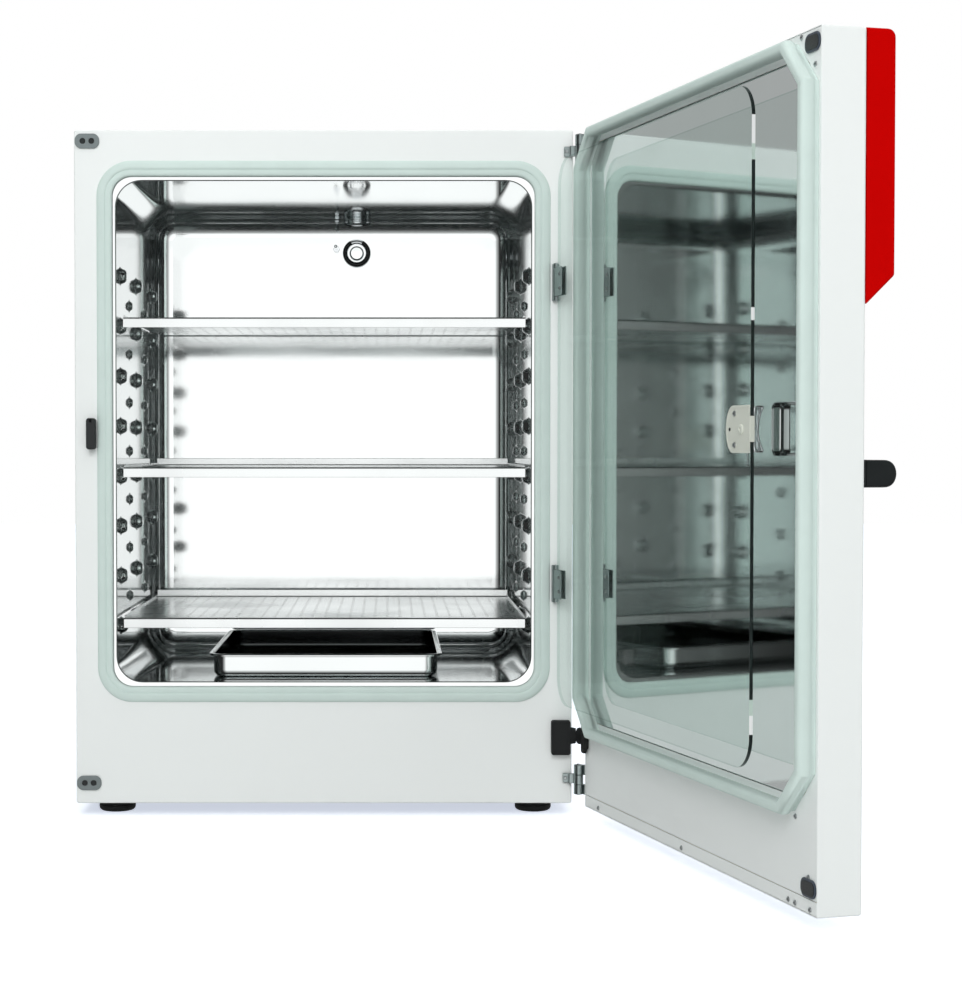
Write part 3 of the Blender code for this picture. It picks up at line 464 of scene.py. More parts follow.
def ring(radius, height, sides=24, lobes=0.0):
    """A circle of points; lobes waves it in and out six times a turn."""
    points = []
    for turn in full_turn(sides):
        reach = radius * (1 + lobes * math.cos(6 * turn))
        points.append((reach * math.cos(turn), reach * math.sin(turn), height))
    return points


def turned(profile, at, towards=(0, 0, 1), sides=32, bored=False):
    """A turned form from (radius, height) points; bored joins the last of them to the first."""
    loops = [ring(radius, height, sides) for radius, height in profile]
    return moved(skin(loops, closed=bored), aim(at, towards))


def rod(start, end, radius, edge, sides=24):
    """A round bar with chamfered ends."""
    axis = Vector(end) - Vector(start)
    length = axis.length
    profile = [(radius - edge, 0), (radius, edge), (radius, length - edge), (radius - edge, length)]
    return turned(profile, start, axis, sides)


def eye(x, y, base, top, bore, radius, edge, sides=32):
    """An upright sleeve round a hinge pin."""
    height = top - base
    section = [(bore, 0), (bore, height), (radius - edge, height), (radius, height - edge), (radius, edge),
               (radius - edge, 0)]
    return turned(section, (x, y, base), sides=sides, bored=True)


def screw(at, towards, radius=0.0042):
    """A domed screw head with a six-lobed socket."""
    height, socket, lobes = radius * 0.55, radius * 0.40, 0.14
    loops = [ring(radius * 0.96, -0.0005), ring(radius, height * 0.25), ring(radius * 0.9, height * 0.72),
             ring(radius * 0.66, height), ring(socket, height, lobes=lobes),
             ring(socket * 0.94, height * 0.25, lobes=lobes)]
    return moved(skin(loops), aim(at, towards))


def tube(path, radii, tall, sides=24):
    """A tube along a path in the XY plane, with a radius at each point; tall stretches it in Z."""
    loops = []
    for step, (point, radius) in enumerate(zip(path, radii)):
        before, after = Vector(path[max(step - 1, 0)]), Vector(path[min(step + 1, len(path) - 1)])
        side = (after - before).normalized().cross(Vector((0, 0, 1))).normalized()
        up = Vector((0, 0, tall))
        loops.append([tuple(Vector(point) + (side * math.cos(turn) + up * math.sin(turn)) * radius)
                      for turn in full_turn(sides)])
    return skin(loops)


def arc_rod(at, radius, thick, start, end, steps=48, sides=12):
    """A round bar bent along part of a circle that faces the front; the angles are in degrees."""
    loops = []
    for turn in turns(steps, start, end):
        out = Vector((math.cos(turn), 0, math.sin(turn)))
        loops.append([tuple(at + out * (radius + thick * math.cos(around))
                            + Vector(REAR) * thick * math.sin(around)) for around in full_turn(sides)])
    return skin(loops)


def read_off(drawn):
    """The form that an object's modifiers or curve settings make; the object itself is removed."""
    bpy.context.scene.collection.objects.link(drawn)
    mesh = bpy.data.meshes.new_from_object(drawn.evaluated_get(bpy.context.evaluated_depsgraph_get()))
    points = [tuple(vertex.co) for vertex in mesh.vertices]
    faces = [tuple(polygon.vertices) for polygon in mesh.polygons]
    bpy.data.objects.remove(drawn, do_unlink=True)
    bpy.data.meshes.remove(mesh)
    return points, faces


def cut_plate(outlines, low, high, across="y", edge=0.0004):
    """A flat outline with its holes, made solid between two planes and softened at its rims."""
    curve = bpy.data.curves.new("outline", "CURVE")
    curve.dimensions = "2D"
    curve.fill_mode = "BOTH"
    curve.extrude = (high - low) / 2 - edge
    curve.bevel_depth = edge
    curve.bevel_resolution = 1
    curve.offset = -edge
    for outline in outlines:
        spline = curve.splines.new("POLY")
        spline.points.add(len(outline) - 1)
        for point, (first, second) in zip(spline.points, outline):
            point.co = (first, second, 0, 1)
        spline.use_cyclic_u = True
    points, faces = read_off(bpy.data.objects.new("outline", curve))
    middle = (low + high) / 2
    return [lay([point[:2]], point[2] + middle, across)[0] for point in points], faces


def solid(name, *forms, looks=()):
    """An object made of forms, each with its own finish, with its faces pointing out."""
    mesh = bpy.data.meshes.new(name)
    points, faces = joined(*forms)
    mesh.from_pydata(points, [], faces)
    for look in looks:
        mesh.materials.append(MATERIALS[look])
    kinds = [number for number, form in enumerate(forms) for _ in form[1]]
    mesh.polygons.foreach_set("material_index", kinds)
    work = bmesh.new()
    work.from_mesh(mesh)
    bmesh.ops.remove_doubles(work, verts=work.verts, dist=0.000002)
    bmesh.ops.recalc_face_normals(work, faces=work.faces)
    work.to_mesh(mesh)
    work.free()
    return bpy.data.objects.new(name, mesh)


def bitten(form, bite):
    """The form with another form cut out of it."""
    made, cutter = solid("made", form), solid("cutter", bite)
    bpy.context.scene.collection.objects.link(cutter)
    cut = made.modifiers.new("cut", "BOOLEAN")
    cut.object = cutter
    left = read_off(made)
    bpy.data.objects.remove(cutter, do_unlink=True)
    return left


# ---------------------------------------------------------------- pieces

def piece(name, node, body=None, sharp=32, **looks):
    """One visible piece, with a form for each finish. It replaces a CAD node and rides on its body."""
    made = solid(name, *looks.values(), looks=looks)
    bpy.context.scene.collection.objects.link(made)
    if node:
        body = body_of(node)
        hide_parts(node)
    if body:
        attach(made, body)
    slot_of(next(iter(looks)))
    made.data.transform(turn_of(body))
    made.data.shade_smooth()
    made.data.set_sharp_from_angle(angle=math.radians(sharp))
    made.modifiers.new("flatten", "WEIGHTED_NORMAL").keep_sharp = True
    return made


def dress(node, look):
    """A finish for a CAD node that stays."""
    made = frame["nodes"][node]
    made.data.materials.clear()
    made.data.materials.append(MATERIALS[look])


def soften(node, edge):
    """Softened edges for a CAD node that stays."""
    made = frame["nodes"][node]
    made.modifiers.new("weld", "WELD").merge_threshold = 0.00001
    bevel = made.modifiers.new("bevel", "BEVEL")
    bevel.width = edge
    bevel.segments = 2
    bevel.limit_method = "ANGLE"
    bevel.angle_limit = math.radians(40)


make_materials()


# ---------------------------------------------------------------- housing

def front_rims(profile, low, high, radius, arc=6):
    """Loops round a rounded rectangle along the cabinet's face, from (inset, ahead) pairs."""
    return rims([(step_in, ahead(distance)) for step_in, distance in profile], low, high, radius, arc)


def make_shell():
    """Side walls and roof, bent from one sheet with soft bends and open at both ends and below."""
    low, high = shut_box("outer_shell")
    sheet, bend, arc = 0.0015, 0.004, 6
    below = (low.x, low.z - bend)
    above = slice(arc + 1, 3 * (arc + 1))
    outer = rounded(below, flat(high), bend, arc)[above]
    inner = inset(below, flat(high), bend, sheet, arc)[above]
    section = [(high.x, low.z), *outer, (low.x, low.z), (low.x + sheet, low.z), *reversed(inner),
               (high.x - sheet, low.z)]
    forms = [skin([lay(section, low.y), lay(section, high.y)], caps=(False, False))]
    count = len(section)
    for level in (low.y, high.y):
        faces = [(step, step + 1, count - 2 - step, count - 1 - step) for step in range(count // 2 - 1)]
        forms.append((lay(section, level), faces))
    piece("outer_shell_sheet", "outer_shell", white_paint=joined(*forms))


def make_face_frame():
    """The pressed face panel: rounded outside, with a rolled edge round the chamber's mouth."""
    low, high = flat(FACE_LOW), flat(FACE_HIGH)
    mouth_low, mouth_high, mouth_radius, roll = (-0.345, 0.169), (0.345, 0.999), 0.045, 0.0012
    depth, corner, edge, wall, arc = FACE_HIGH.y - FACE_LOW.y, 0.004, 0.0025, 0.002, 8
    outside = [(0.0, -depth)] + [(step_in, -behind) for step_in, behind in soft(edge, 4)]
    mouth = [(-step_in, -behind) for behind, step_in in soft(roll, 3)] + [(0.0, -wall)]
    fold = [(wall, -wall), (wall, -depth)]
    loops = front_rims(outside, low, high, corner, arc)
    loops += front_rims(mouth, mouth_low, mouth_high, mouth_radius, arc)
    loops += front_rims(fold, low, high, corner, arc)
    piece("face_panel", "front_frame", white_paint=skin(loops, closed=True))


def make_chamber():
    """Deep-drawn liner with rounded corners and its pressed shelf supports."""
    half_width, low_z, high_z = 0.325, 0.192, 0.977
    corner, back_edge, flange, sheet, arc = 0.040, 0.034, 0.026, 0.001, 10
    mouth_y = FRONT_Y + 0.0025
    back_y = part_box("inner_chamber")[1].y - sheet
    low, high = (-half_width, low_z), (half_width, high_z)
    depth = back_y - back_edge - mouth_y
    profile = [(-flange, mouth_y), (-0.002, mouth_y), (-0.0006, mouth_y + 0.0006), (0.0, mouth_y + 0.002)]
    profile += [(0.0, mouth_y + depth * step / 6) for step in range(1, 7)]
    profile += [(step_in, back_y - behind) for step_in, behind in soft(back_edge, 12)[1:]]
    loops = rims(profile, low, high, corner, arc)
    for step_in in (0.060, 0.150):
        loops.append(lay(inset(low, high, corner, step_in, arc, least=0.004), back_y))
    walls = skin(loops, caps=(False, True))
    bosses = [boss(*spot) for spot in boss_spots(half_width)]
    piece("chamber_liner", "inner_chamber", sharp=50, chamber_steel=joined(walls, *bosses))


def boss_spots(wall_x):
    """Each support's wall, depth, height, radius and reach: three large ones to a row, two small between."""
    pitch, lowest, rows = 0.0793, 0.2770, 8
    for x in (-wall_x, wall_x):
        for row in range(rows):
            z = lowest + row * pitch
            for depth in (0.050, 0.250, 0.470):
                yield x, depth, z, 0.010, 0.011
            if row < rows - 1:
                for depth in (0.160, 0.360):
                    yield x, depth, z + pitch / 2, 0.006, 0.006


def boss(wall_x, depth, z, radius, reach):
    """One support: a smooth pressed dome that flares into the wall."""
    flare = [(0.0065, -0.0006), (0.0050, 0.0003), (0.0030, reach * 0.16), (0.0014, reach * 0.42),
             (0.0002, reach * 0.68)]
    dome = [(0.86, 0.86), (0.62, 0.96), (0.30, 1.0)]
    profile = [(radius + out, height) for out, height in flare]
    profile += [(radius * share, reach * rise) for share, rise in dome]
    return turned(profile, (wall_x, FRONT_Y + depth, z), (-wall_x, 0, 0), 20)


def make_chamber_gasket():
    """Flat silicone seal on the face: a broad outer band and a thinner lip towards the chamber."""
    low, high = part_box("chamber_gasket")
    width, top = 0.0248, 0.0055
    profile = [(0.0, 0.0003), (0.0006, 0.0022), (0.0028, 0.0040), (0.0065, 0.0050), (0.0105, top),
               (0.0130, 0.0052), (0.0139, 0.0040), (0.0146, 0.0038), (0.0156, 0.0046), (0.0195, 0.0047),
               (0.0225, 0.0040), (width - 0.0008, 0.0026), (width, 0.0003)]
    loops = front_rims(profile, flat(low), flat(high), 0.055, 14)
    piece("chamber_seal", "chamber_gasket", sharp=70, silicone=skin(loops, closed=True))


def rear_middle(node):
    """The middle of the rear side of a fitting that faces the front."""
    low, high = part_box(node)
    middle = (low + high) / 2
    return Vector((middle.x, high.y, middle.z))


def make_sensors():
    """Ring-shaped cap of the gas sensor with its polished head, and the temperature probe."""
    at = rear_middle("sensor_cap")
    outer, inner, top = 0.026, 0.0165, 0.0184
    cap = [(outer, 0), (outer - 0.0003, 0.0090), (outer - 0.0012, 0.0140), (outer - 0.0030, 0.0172),
           (outer - 0.0052, top), (inner + 0.0022, top), (inner + 0.0006, 0.0172), (inner, 0.0150),
           (inner, 0)]
    clip = arc_rod(off(at, 0, -0.0165, 0), 0.0212, 0.0036, 118, 422)
    piece("sensor_ring", "sensor_cap", chrome=turned(cap, at, FRONT, 48, bored=True), black_plastic=clip)
    head = [(0.0135, 0), (0.0132, 0.0080), (0.0122, 0.0105), (0.0104, 0.0118), (0.0030, 0.0120)]
    piece("sensor_face", "sensor_head", polished_steel=turned(head, at, FRONT))

    at = rear_middle("temperature_probe")
    length = at.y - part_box("temperature_probe")[0].y
    nut = [(0.0062, 0), (0.0062, 0.0042), (0.0056, 0.0050), (0.0032, 0.0050)]
    stem = [(0.0030, 0.0010), (0.0030, length - 0.0025), (0.0022, length - 0.0008), (0.0008, length)]
    piece("probe_stem", "temperature_probe",
          chrome=joined(turned(nut, at, FRONT, 6), turned(stem, at, FRONT)))


def make_strike():
    """Black keeper with a forked top; its slot takes the latch's tongue from the right."""
    low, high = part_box("glass_strike")
    middle = (low.x + high.x) / 2
    fork, half_notch, clear = 0.007, 0.0022, 0.010
    body = cut_plate([rounded(flat(low), flat(high), 0.0045, 5)], low.y, high.y, edge=0.0010)
    slot = bar((low.x + 0.003, high.x + clear), (0.0120, 0.0165), (low.z - clear, high.z + clear),
               corner=0.001, edge=0.0002, arc=2)
    notch = slab((middle - half_notch, low.y - clear, high.z - fork),
                 (middle + half_notch, high.y - 0.003, high.z + clear), corner=0.0018, edge=0.0002, arc=3)
    piece("strike_bar", "glass_strike", black_plastic=bitten(bitten(body, slot), notch))


def make_plug(node, look):
    """Pill-shaped cover with two slots, over the holes of the door's other hinge side."""
    low, high = shut_box(node)
    length, height = high.x - low.x, high.z - low.z
    half_slot, margin = 0.0045, 0.0070
    outlines = [rounded(flat(low), flat(high), height * 0.44, 8)]
    for share in (0.32, 0.68):
        middle = low.x + length * share
        outlines.append(rounded((middle - half_slot, low.z + margin), (middle + half_slot, high.z - margin),
                                0.0040, 5))
    cover = cut_plate(outlines, low.y, high.y - 0.0006, edge=0.0006)
    back = slab((low.x + 0.003, high.y - 0.0008, low.z + 0.003), off(high, -0.003, 0, -0.003),
                corner=height * 0.3, edge=0.0001)
    piece(node + "_pill", node, **{look: cover, "black_plastic": back})


def make_cable():
    """Moulded boot on the housing, the flared gland on the door and the flexible sleeve between them."""
    low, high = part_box("cable_boot")
    boot_end = 0.387
    middle = Vector((boot_end, ahead(0.0075), 0.108))
    boot = slab(low, (boot_end, high.y, high.z), corner=0.0035, edge=0.0012)
    neck_path = [off(middle, -0.002, 0, 0), off(middle, 0.003, 0, 0), (high.x + 0.0015, middle.y, middle.z)]
    neck = tube(neck_path, [0.0064, 0.0062, 0.0058], tall=2.1)
    piece("boot_shell", "cable_boot", black_rubber=joined(boot, neck))

    low, high = shut_box("door_cable_gland")
    flange = slab(off(low, 0, 0.003, -0.003), off(high, 0, 0, 0.003), corner=0.0045, edge=0.0010)
    collar = slab(off(low, 0.0015, 0, 0.003), (high.x - 0.0015, low.y + 0.004, high.z - 0.003),
                  corner=0.0045, edge=0.0010)
    piece("gland_flange", "door_cable_gland", black_rubber=joined(flange, collar))

    start = off(middle, 0.012, 0, 0)
    end = OUTER_OPEN @ Vector(((low.x + high.x) / 2, low.y + 0.001, (low.z + high.z) / 2))
    steps, sag = 14, 0.006
    path = [start.lerp(end, step / steps) + Vector((sag * math.sin(math.pi * step / steps), 0, 0))
            for step in range(steps + 1)]
    radii = [0.0062 + 0.0005 * (step % 2) for step in range(steps + 1)]
    sleeve = piece("cable_sleeve", None, sharp=60, black_rubber=tube(path, radii, tall=2.0))
    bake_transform(sleeve)


def make_outer_hinge(level):
    """The housing's plate and middle knuckle, and the door's leaf with the outer two, round one pin."""
    pin_low, pin_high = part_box(level + "_hinge_pin")
    x, y, middle_z = (pin_low + pin_high) / 2
    low_z, high_z = pin_low.z + 0.0015, pin_high.z - 0.0015
    third = (high_z - low_z) / 3
    play = 0.0003
    knuckle = {"bore": 0.0033, "radius": 0.0075, "edge": 0.0006}

    arm_low, arm_high = low_z + third + play, high_z - third - play
    plate = bar((0.3755, 0.3890), (0.0003, 0.0050), (arm_low, arm_high), edge=0.0008)
    arm = bar((0.3840, x), (0.0035, 0.0130), (arm_low, arm_high), across="z", edge=0.0004)
    head = screw((0.3795, ahead(0.0050), middle_z), FRONT, 0.0028)
    piece(level + "_hinge_arm", level + "_hinge_bracket",
          hinge_steel=joined(plate, arm, eye(x, y, arm_low, arm_high, **knuckle)), zinc_steel=head)

    leaf_x, leaf_y, _ = shut_box(level + "_hinge_leaf")[0]
    parts = [slab((leaf_x, leaf_y, low_z), (leaf_x + 0.003, ahead(0.0270), high_z), across="x",
                  corner=0.005)]
    for ends in ((low_z, low_z + third), (high_z - third, high_z)):
        parts.append(bar((leaf_x + 0.0005, x), (0.0235, 0.0300), ends, across="z",
                         corner=0.0012, edge=0.0004))
        parts.append(eye(x, y, *ends, **knuckle))
    heads = [screw((leaf_x + 0.0029, ahead(distance), middle_z), (1, 0, 0), 0.0046)
             for distance in (0.0395, 0.0560)]
    piece(level + "_hinge_plate", level + "_hinge_leaf",
          hinge_steel=joined(*parts), zinc_steel=joined(*heads))
    piece(level + "_hinge_rod", level + "_hinge_pin",
          chrome=rod((x, y, pin_low.z), (x, y, pin_high.z), 0.003, 0.0008))


def make_glass_hinge(level):
    """Bracket with two ears on the housing, and the clamp that grips the glass between them."""
    pin_low, pin_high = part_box(level + "_glass_hinge_pin")
    x, y, _ = (pin_low + pin_high) / 2
    low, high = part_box(level + "_glass_hinge")
    ear = 0.006
    knuckle = {"bore": 0.0018, "radius": 0.004, "edge": 0.0004, "sides": 24}
    parts = [bar((low.x, high.x), (0.0003, 0.0030), (low.z, high.z), corner=0.0015)]
    for ends in ((low.z, low.z + ear), (high.z - ear, high.z)):
        parts.append(bar((x - 0.004, x + 0.004), (0.0020, 0.0078), ends, across="z",
                         corner=0.0008, edge=0.0003))
        parts.append(eye(x, y, *ends, **knuckle))
    heads = [screw((x - 0.0004, ahead(0.0029), low.z + share * (high.z - low.z)), FRONT, 0.0026)
             for share in (0.32, 0.68)]
    piece(level + "_glass_bracket", level + "_glass_hinge",
          hinge_steel=joined(*parts), zinc_steel=joined(*heads))

    low, high = shut_box(level + "_glass_clamp")
    spine_x, end_x, screw_x = 0.3493, x - 0.0035, low.x + 0.0095
    tall = (low.z, high.z)
    inner = bar((low.x, end_x), (0.0059, 0.0072), tall, edge=0.0004)
    outer = bar((low.x, end_x), (0.0128, 0.0145), tall, edge=0.0005)
    spine = bar((spine_x, end_x), (0.0065, 0.0140), tall, corner=0.001, edge=0.0004)
    heads = []
    for share in (0.25, 0.75):
        z = low.z + share * (high.z - low.z)
        heads.append(screw((screw_x, ahead(0.0067), z), REAR, 0.0034))
        heads.append(screw((screw_x, ahead(0.0144), z), FRONT, 0.0034))
    piece(level + "_clamp_jaws", level + "_glass_clamp",
          hinge_steel=joined(inner, outer, spine, eye(x, y, *tall, **knuckle)), zinc_steel=joined(*heads))
    piece(level + "_glass_rod", level + "_glass_hinge_pin",
          chrome=rod((x, y, pin_low.z), (x, y, pin_high.z), 0.0015, 0.0004))


def make_foot(node):
    """A round rubber foot with moulded ribs and a softened tread."""
    low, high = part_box(node)
    middle = (low + high) / 2
    radius, edge, groove, pitch = (high.x - low.x) / 2, 0.006, 0.0013, 0.0036
    profile = [(radius - 0.0030, high.z), (radius, high.z - 0.0020)]
    for rib in range(3):
        level = -0.0010 - pitch * rib
        profile += [(radius, level), (radius - groove, level - 0.0008), (radius - groove, level - 0.0016),
                    (radius, level - 0.0024)]
    profile += [(radius - step_in, low.z + rise) for step_in, rise in soft(edge, 4)]
    profile.append((radius * 0.5, low.z))
    piece(node + "_tread", node, black_rubber=turned(profile, (middle.x, middle.y, 0), sides=48))


def make_rear_cover():
    """Rear panel with hooded cooling slots, held by screws round its edge."""
    low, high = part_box("rear_cover")
    half_slot, slot_height, pitch, lowest = 0.06, 0.006, 0.016, 0.070
    outlines = [rounded(flat(low), flat(high), 0.003, 3)]
    hood = slab((-0.063, -0.0004, 0), (0.063, 0.0004, 0.0075), edge=0.0002)
    lean = Matrix.Rotation(math.radians(148), 4, "X")
    hoods = []
    for x in (-0.22, 0.22):
        for row in range(6):
            z = lowest + pitch * row
            outlines.append(rounded((x - half_slot, z), (x + half_slot, z + slot_height), 0.0029, 4))
            hoods.append(moved(hood, Matrix.Translation((x, high.y - 0.0002, z + 0.0080)) @ lean))
    margin = 0.012
    spots = [(x, z) for x in (low.x + margin, high.x - margin) for z in (0.030, 0.280, 0.530, 0.780, 1.030)]
    spots += [(x, z) for x in (-0.190, 0.0, 0.190) for z in (0.020, high.z - margin)]
    heads = [screw((x, high.y - 0.0001, z), REAR) for x, z in spots]
    piece("rear_panel", "rear_cover", white_paint=joined(cut_plate(outlines, low.y, high.y), *hoods),
          zinc_steel=joined(*heads))


def make_connections():
    """Gas nozzle, mains inlet and the plugged access port, all at the rear."""
    panel_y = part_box("rear_cover")[1].y
    low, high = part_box("gas_inlet")
    at = ((low.x + high.x) / 2, panel_y, (low.z + high.z) / 2)
    length = high.y - panel_y
    nut = [(0.0088, 0.0003), (0.0095, 0.0010), (0.0095, 0.0056), (0.0088, 0.0063)]
    barbs = [(0.0065, 0.0060), (0.0065, 0.0080), (0.0045, 0.0090)]
    for step in range(3):
        base = 0.0100 + 0.0050 * step
        barbs += [(0.0052 - 0.0003 * step, base), (0.0038 - 0.0001 * step, base + 0.0048)]
    barbs += [(0.0036, length), (0.0020, length), (0.0020, length - 0.0120)]
    piece("gas_nozzle", "gas_inlet", brass=joined(turned(nut, at, REAR, 6), turned(barbs, at, REAR)))

    low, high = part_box("mains_inlet")
    middle = (low + high) / 2
    half_width, half_height = 0.0010, 0.0030
    body = slab(low, high, corner=0.004, edge=0.0010)
    hollow = slab(off(low, 0.005, 0.003, 0.005), off(high, -0.005, 0.010, -0.005), corner=0.003,
                  edge=0.0002)
    blades = []
    for shift, rise in ((-0.009, -0.002), (0.0, 0.002), (0.009, -0.002)):
        x, z = middle.x + shift, middle.z + rise
        blades.append(slab((x - half_width, low.y + 0.002, z - half_height),
                           (x + half_width, high.y - 0.002, z + half_height),
                           corner=0.0004, edge=0.0002, arc=2))
    piece("mains_socket", "mains_inlet", black_plastic=bitten(body, hollow), brass=joined(*blades))

    low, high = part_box("access_port_plug")
    at = ((low.x + high.x) / 2, panel_y, (low.z + high.z) / 2)
    plug = [(0.0216, 0.0003), (0.0220, 0.0012), (0.0216, 0.0030), (0.0196, 0.0040), (0.0186, 0.0048),
            (0.0176, 0.0120), (0.0162, 0.0148), (0.0130, 0.0160), (0.0090, 0.0156), (0.0060, 0.0135),
            (0.0020, 0.0130)]
    piece("port_stopper", "access_port_plug", silicone=turned(plug, at, REAR, 40))


# ---------------------------------------------------------------- outer door

def make_door_shell():
    """The door's folded outer skin."""
    low, high = shut_box("door_skin")
    back, face, sheet, edge = FRONT_Y - high.y, FRONT_Y - low.y, 0.0012, 0.004
    profile = [(sheet, face - sheet), (sheet, back + 0.0002), (sheet / 2, back), (0, back + 0.0004)]
    profile += [(step_in, face - behind) for step_in, behind in soft(edge, 5)]
    piece("door_shell", "door_skin", white_paint=skin(front_rims(profile, flat(low), flat(high), 0.0025)))


def make_door_lining():
    """The inner sheet with its window, the seam above its lower hem, and its screws."""
    low, high = shut_box("door_liner")
    seam_z, gap = 0.0190, 0.0004
    window = rounded((-0.366, 0.136), (0.365, 1.026), 0.030, 8)
    main = cut_plate([rounded((low.x, seam_z + gap), flat(high), 0.002, 3), window], low.y, high.y)
    hem = slab(low, (high.x, high.y, seam_z - gap), corner=0.001, edge=0.0004)
    spots = [(-0.314, 0.0075), (-0.332, 0.0070), (-0.3715, 0.0070), (-0.367, 0.0450), (-0.332, 0.1125),
             (-0.338, 1.0500), (-0.374, 1.0120), (0.012, 0.0075), (0.330, 0.0075), (0.330, 1.0500)]
    heads = [screw((x, high.y - 0.0001, z), REAR, 0.0034) for x, z in spots]
    piece("door_lining", "door_liner", white_paint=joined(main, hem), zinc_steel=joined(*heads))


POCKET_RIM, POCKET_CORNER = 0.004, 0.010


def pocket_opening():
    """Corners of the hole in the mirror panel that the latch's recess shows through."""
    low, high = shut_box("latch_recess")
    return (low.x + POCKET_RIM, low.z + POCKET_RIM), (high.x - POCKET_RIM, high.z - POCKET_RIM)


def make_mirror_panel():
    """Polished panel that stands flush in the inner sheet, with walls that run back to a hidden rim."""
    low, high = shut_box("door_inner_panel")
    front, back, wall, sheet, corner = FRONT_Y - high.y, FRONT_Y - low.y, 0.0055, 0.0010, 0.0295
    outlines = [rounded((low.x + wall, low.z + wall), (high.x - wall, high.z - wall), corner, 10),
                rounded(*pocket_opening(), POCKET_CORNER)]
    face = cut_plate(outlines, ahead(front + sheet), ahead(front))
    folded = [(wall, front + sheet), (wall, back - sheet), (0, back - sheet), (0, back),
              (wall + sheet, back), (wall + sheet, front + sheet)]
    loops = front_rims(folded, flat(low), flat(high), corner + wall, 10)
    piece("mirror_panel", "door_inner_panel", mirror_steel=joined(face, skin(loops, closed=True)))


def make_latch_pocket():
    """Drawn recess behind the mirror panel, which leaves room for the latch knob."""
    low, high = shut_box("latch_recess")
    sheet = 0.0005
    mouth, floor = FRONT_Y - high.y, FRONT_Y - low.y - sheet
    dish = [(-POCKET_RIM, mouth), (-0.0004, mouth), (0.0004, mouth + 0.0003), (0.0008, mouth + 0.0012),
            (0.0012, floor - 0.0034), (0.0020, floor - 0.0014), (0.0036, floor - 0.0002), (0.0060, floor)]
    behind = [(step_in, distance + sheet) for step_in, distance in reversed(dish)]
    face, back = [front_rims(profile, *pocket_opening(), POCKET_CORNER) for profile in (dish, behind)]
    hem = skin([back[-1], face[0]], caps=(False, False))
    piece("latch_pocket", "latch_recess",
          mirror_steel=joined(skin(face, caps=(False, True)), skin(back, caps=(True, False)), hem))


def make_door_gasket():
    """Hollow magnetic seal with mitred corners: a foot on the liner, a narrow neck and a round head."""
    low, high = shut_box("door_gasket")
    chamfer = 0.055
    profile = [(0.0035, 0.0245), (0.0035, 0.0200), (0.0020, 0.0180), (0.0004, 0.0150), (0.0, 0.0110),
               (0.0002, 0.0070), (0.0010, 0.0035), (0.0026, 0.0014), (0.0050, 0.0005), (0.0105, 0.0005),
               (0.0130, 0.0014), (0.0150, 0.0035), (0.0159, 0.0070), (0.0160, 0.0110), (0.0156, 0.0150),
               (0.0140, 0.0180), (0.0125, 0.0200), (0.0125, 0.0245)]
    loops = []
    for step_in, distance in profile:
        corner = chamfer - step_in * (1 - math.sqrt(2))
        loops += front_rims([(step_in, distance)], flat(low), flat(high), corner, arc=1)
    piece("door_seal", "door_gasket", sharp=40, silicone=skin(loops, closed=True))


def control_section(step_in):
    """Side outline of the control housing: a 45 degree underside and a rounded top edge."""
    low, high = shut_box("control_housing")
    back, front = FRONT_Y - high.y, FRONT_Y - low.y - step_in
    base, top, edge, slope, bend = low.z + step_in * 1.4, high.z - step_in, 0.010, 0.0342, 0.006
    outline = [(back, base), (back + 0.0015, base)]
    outline += [(front - bend + bend * math.cos(turn), base + slope + bend * (0.41 + math.sin(turn)))
                for turn in turns(4, -45, 0)]
    outline += [(front - edge + edge * math.cos(turn), top - edge + edge * math.sin(turn))
                for turn in turns(8)]
    outline.append((back, top))
    return [(ahead(distance), z) for distance, z in outline]


def make_control_housing():
    """Red head of the door, with softened ends, and the power switch's window and bezel."""
    low, high = shut_box("control_housing")
    ends = [(step_in, along) for along, step_in in soft(0.003, 4)]
    loops = [lay(control_section(step_in), low.x + along, "x") for step_in, along in ends]
    loops += [lay(control_section(step_in), high.x - along, "x") for step_in, along in reversed(ends)]
    switch_low, switch_high = shut_box("power_switch")
    x, _, z = (switch_low + switch_high) / 2

    def around_switch(half_width, half_height):
        return (x - half_width, z - half_height), (x + half_width, z + half_height)

    window = bar((x - 0.0145, x + 0.0145), (0.1000, 0.1400), (z - 0.0125, z + 0.0125), corner=0.0015,
                 edge=0.0002)
    piece("control_case", "control_housing", sharp=25, red_paint=bitten(skin(loops), window))
    outlines = [rounded(*around_switch(0.0175, 0.0155), 0.003, 4),
                rounded(*around_switch(0.0143, 0.0123), 0.0014, 3)]
    bezel = cut_plate(outlines, low.y - 0.0018, low.y - 0.0001)
    piece("switch_bezel", None, body="outer_door", black_plastic=bezel)


DIGIT_STROKES = {"0": "abcdef", "3": "abcdg", "5": "acdfg", "7": "abc", "9": "abcdfg"}


def digit(figure, left, base, height, level):
    """One seven-segment figure, as thin bars on the display's face."""
    width, line, half = height * 0.5, height * 0.11, height / 2
    flat_strokes = {"a": height, "g": half, "d": 0}
    upright_strokes = {"f": (0, half), "b": (width, half), "e": (0, 0), "c": (width, 0)}
    gap, thick = line * 0.7, line / 2
    bars = []
    for stroke in DIGIT_STROKES[figure]:
        if stroke in flat_strokes:
            up = base + flat_strokes[stroke]
            low, high = (left + gap, up - thick), (left + width - gap, up + thick)
        else:
            across, up = left + upright_strokes[stroke][0], base + upright_strokes[stroke][1]
            low, high = (across - thick, up + gap), (across + thick, up + half - gap)
        bars.append(slab((low[0], level - 0.0002, low[1]), (high[0], level + 0.0001, high[1]),
                         corner=line * 0.35, edge=0.00005, arc=2))
    return bars


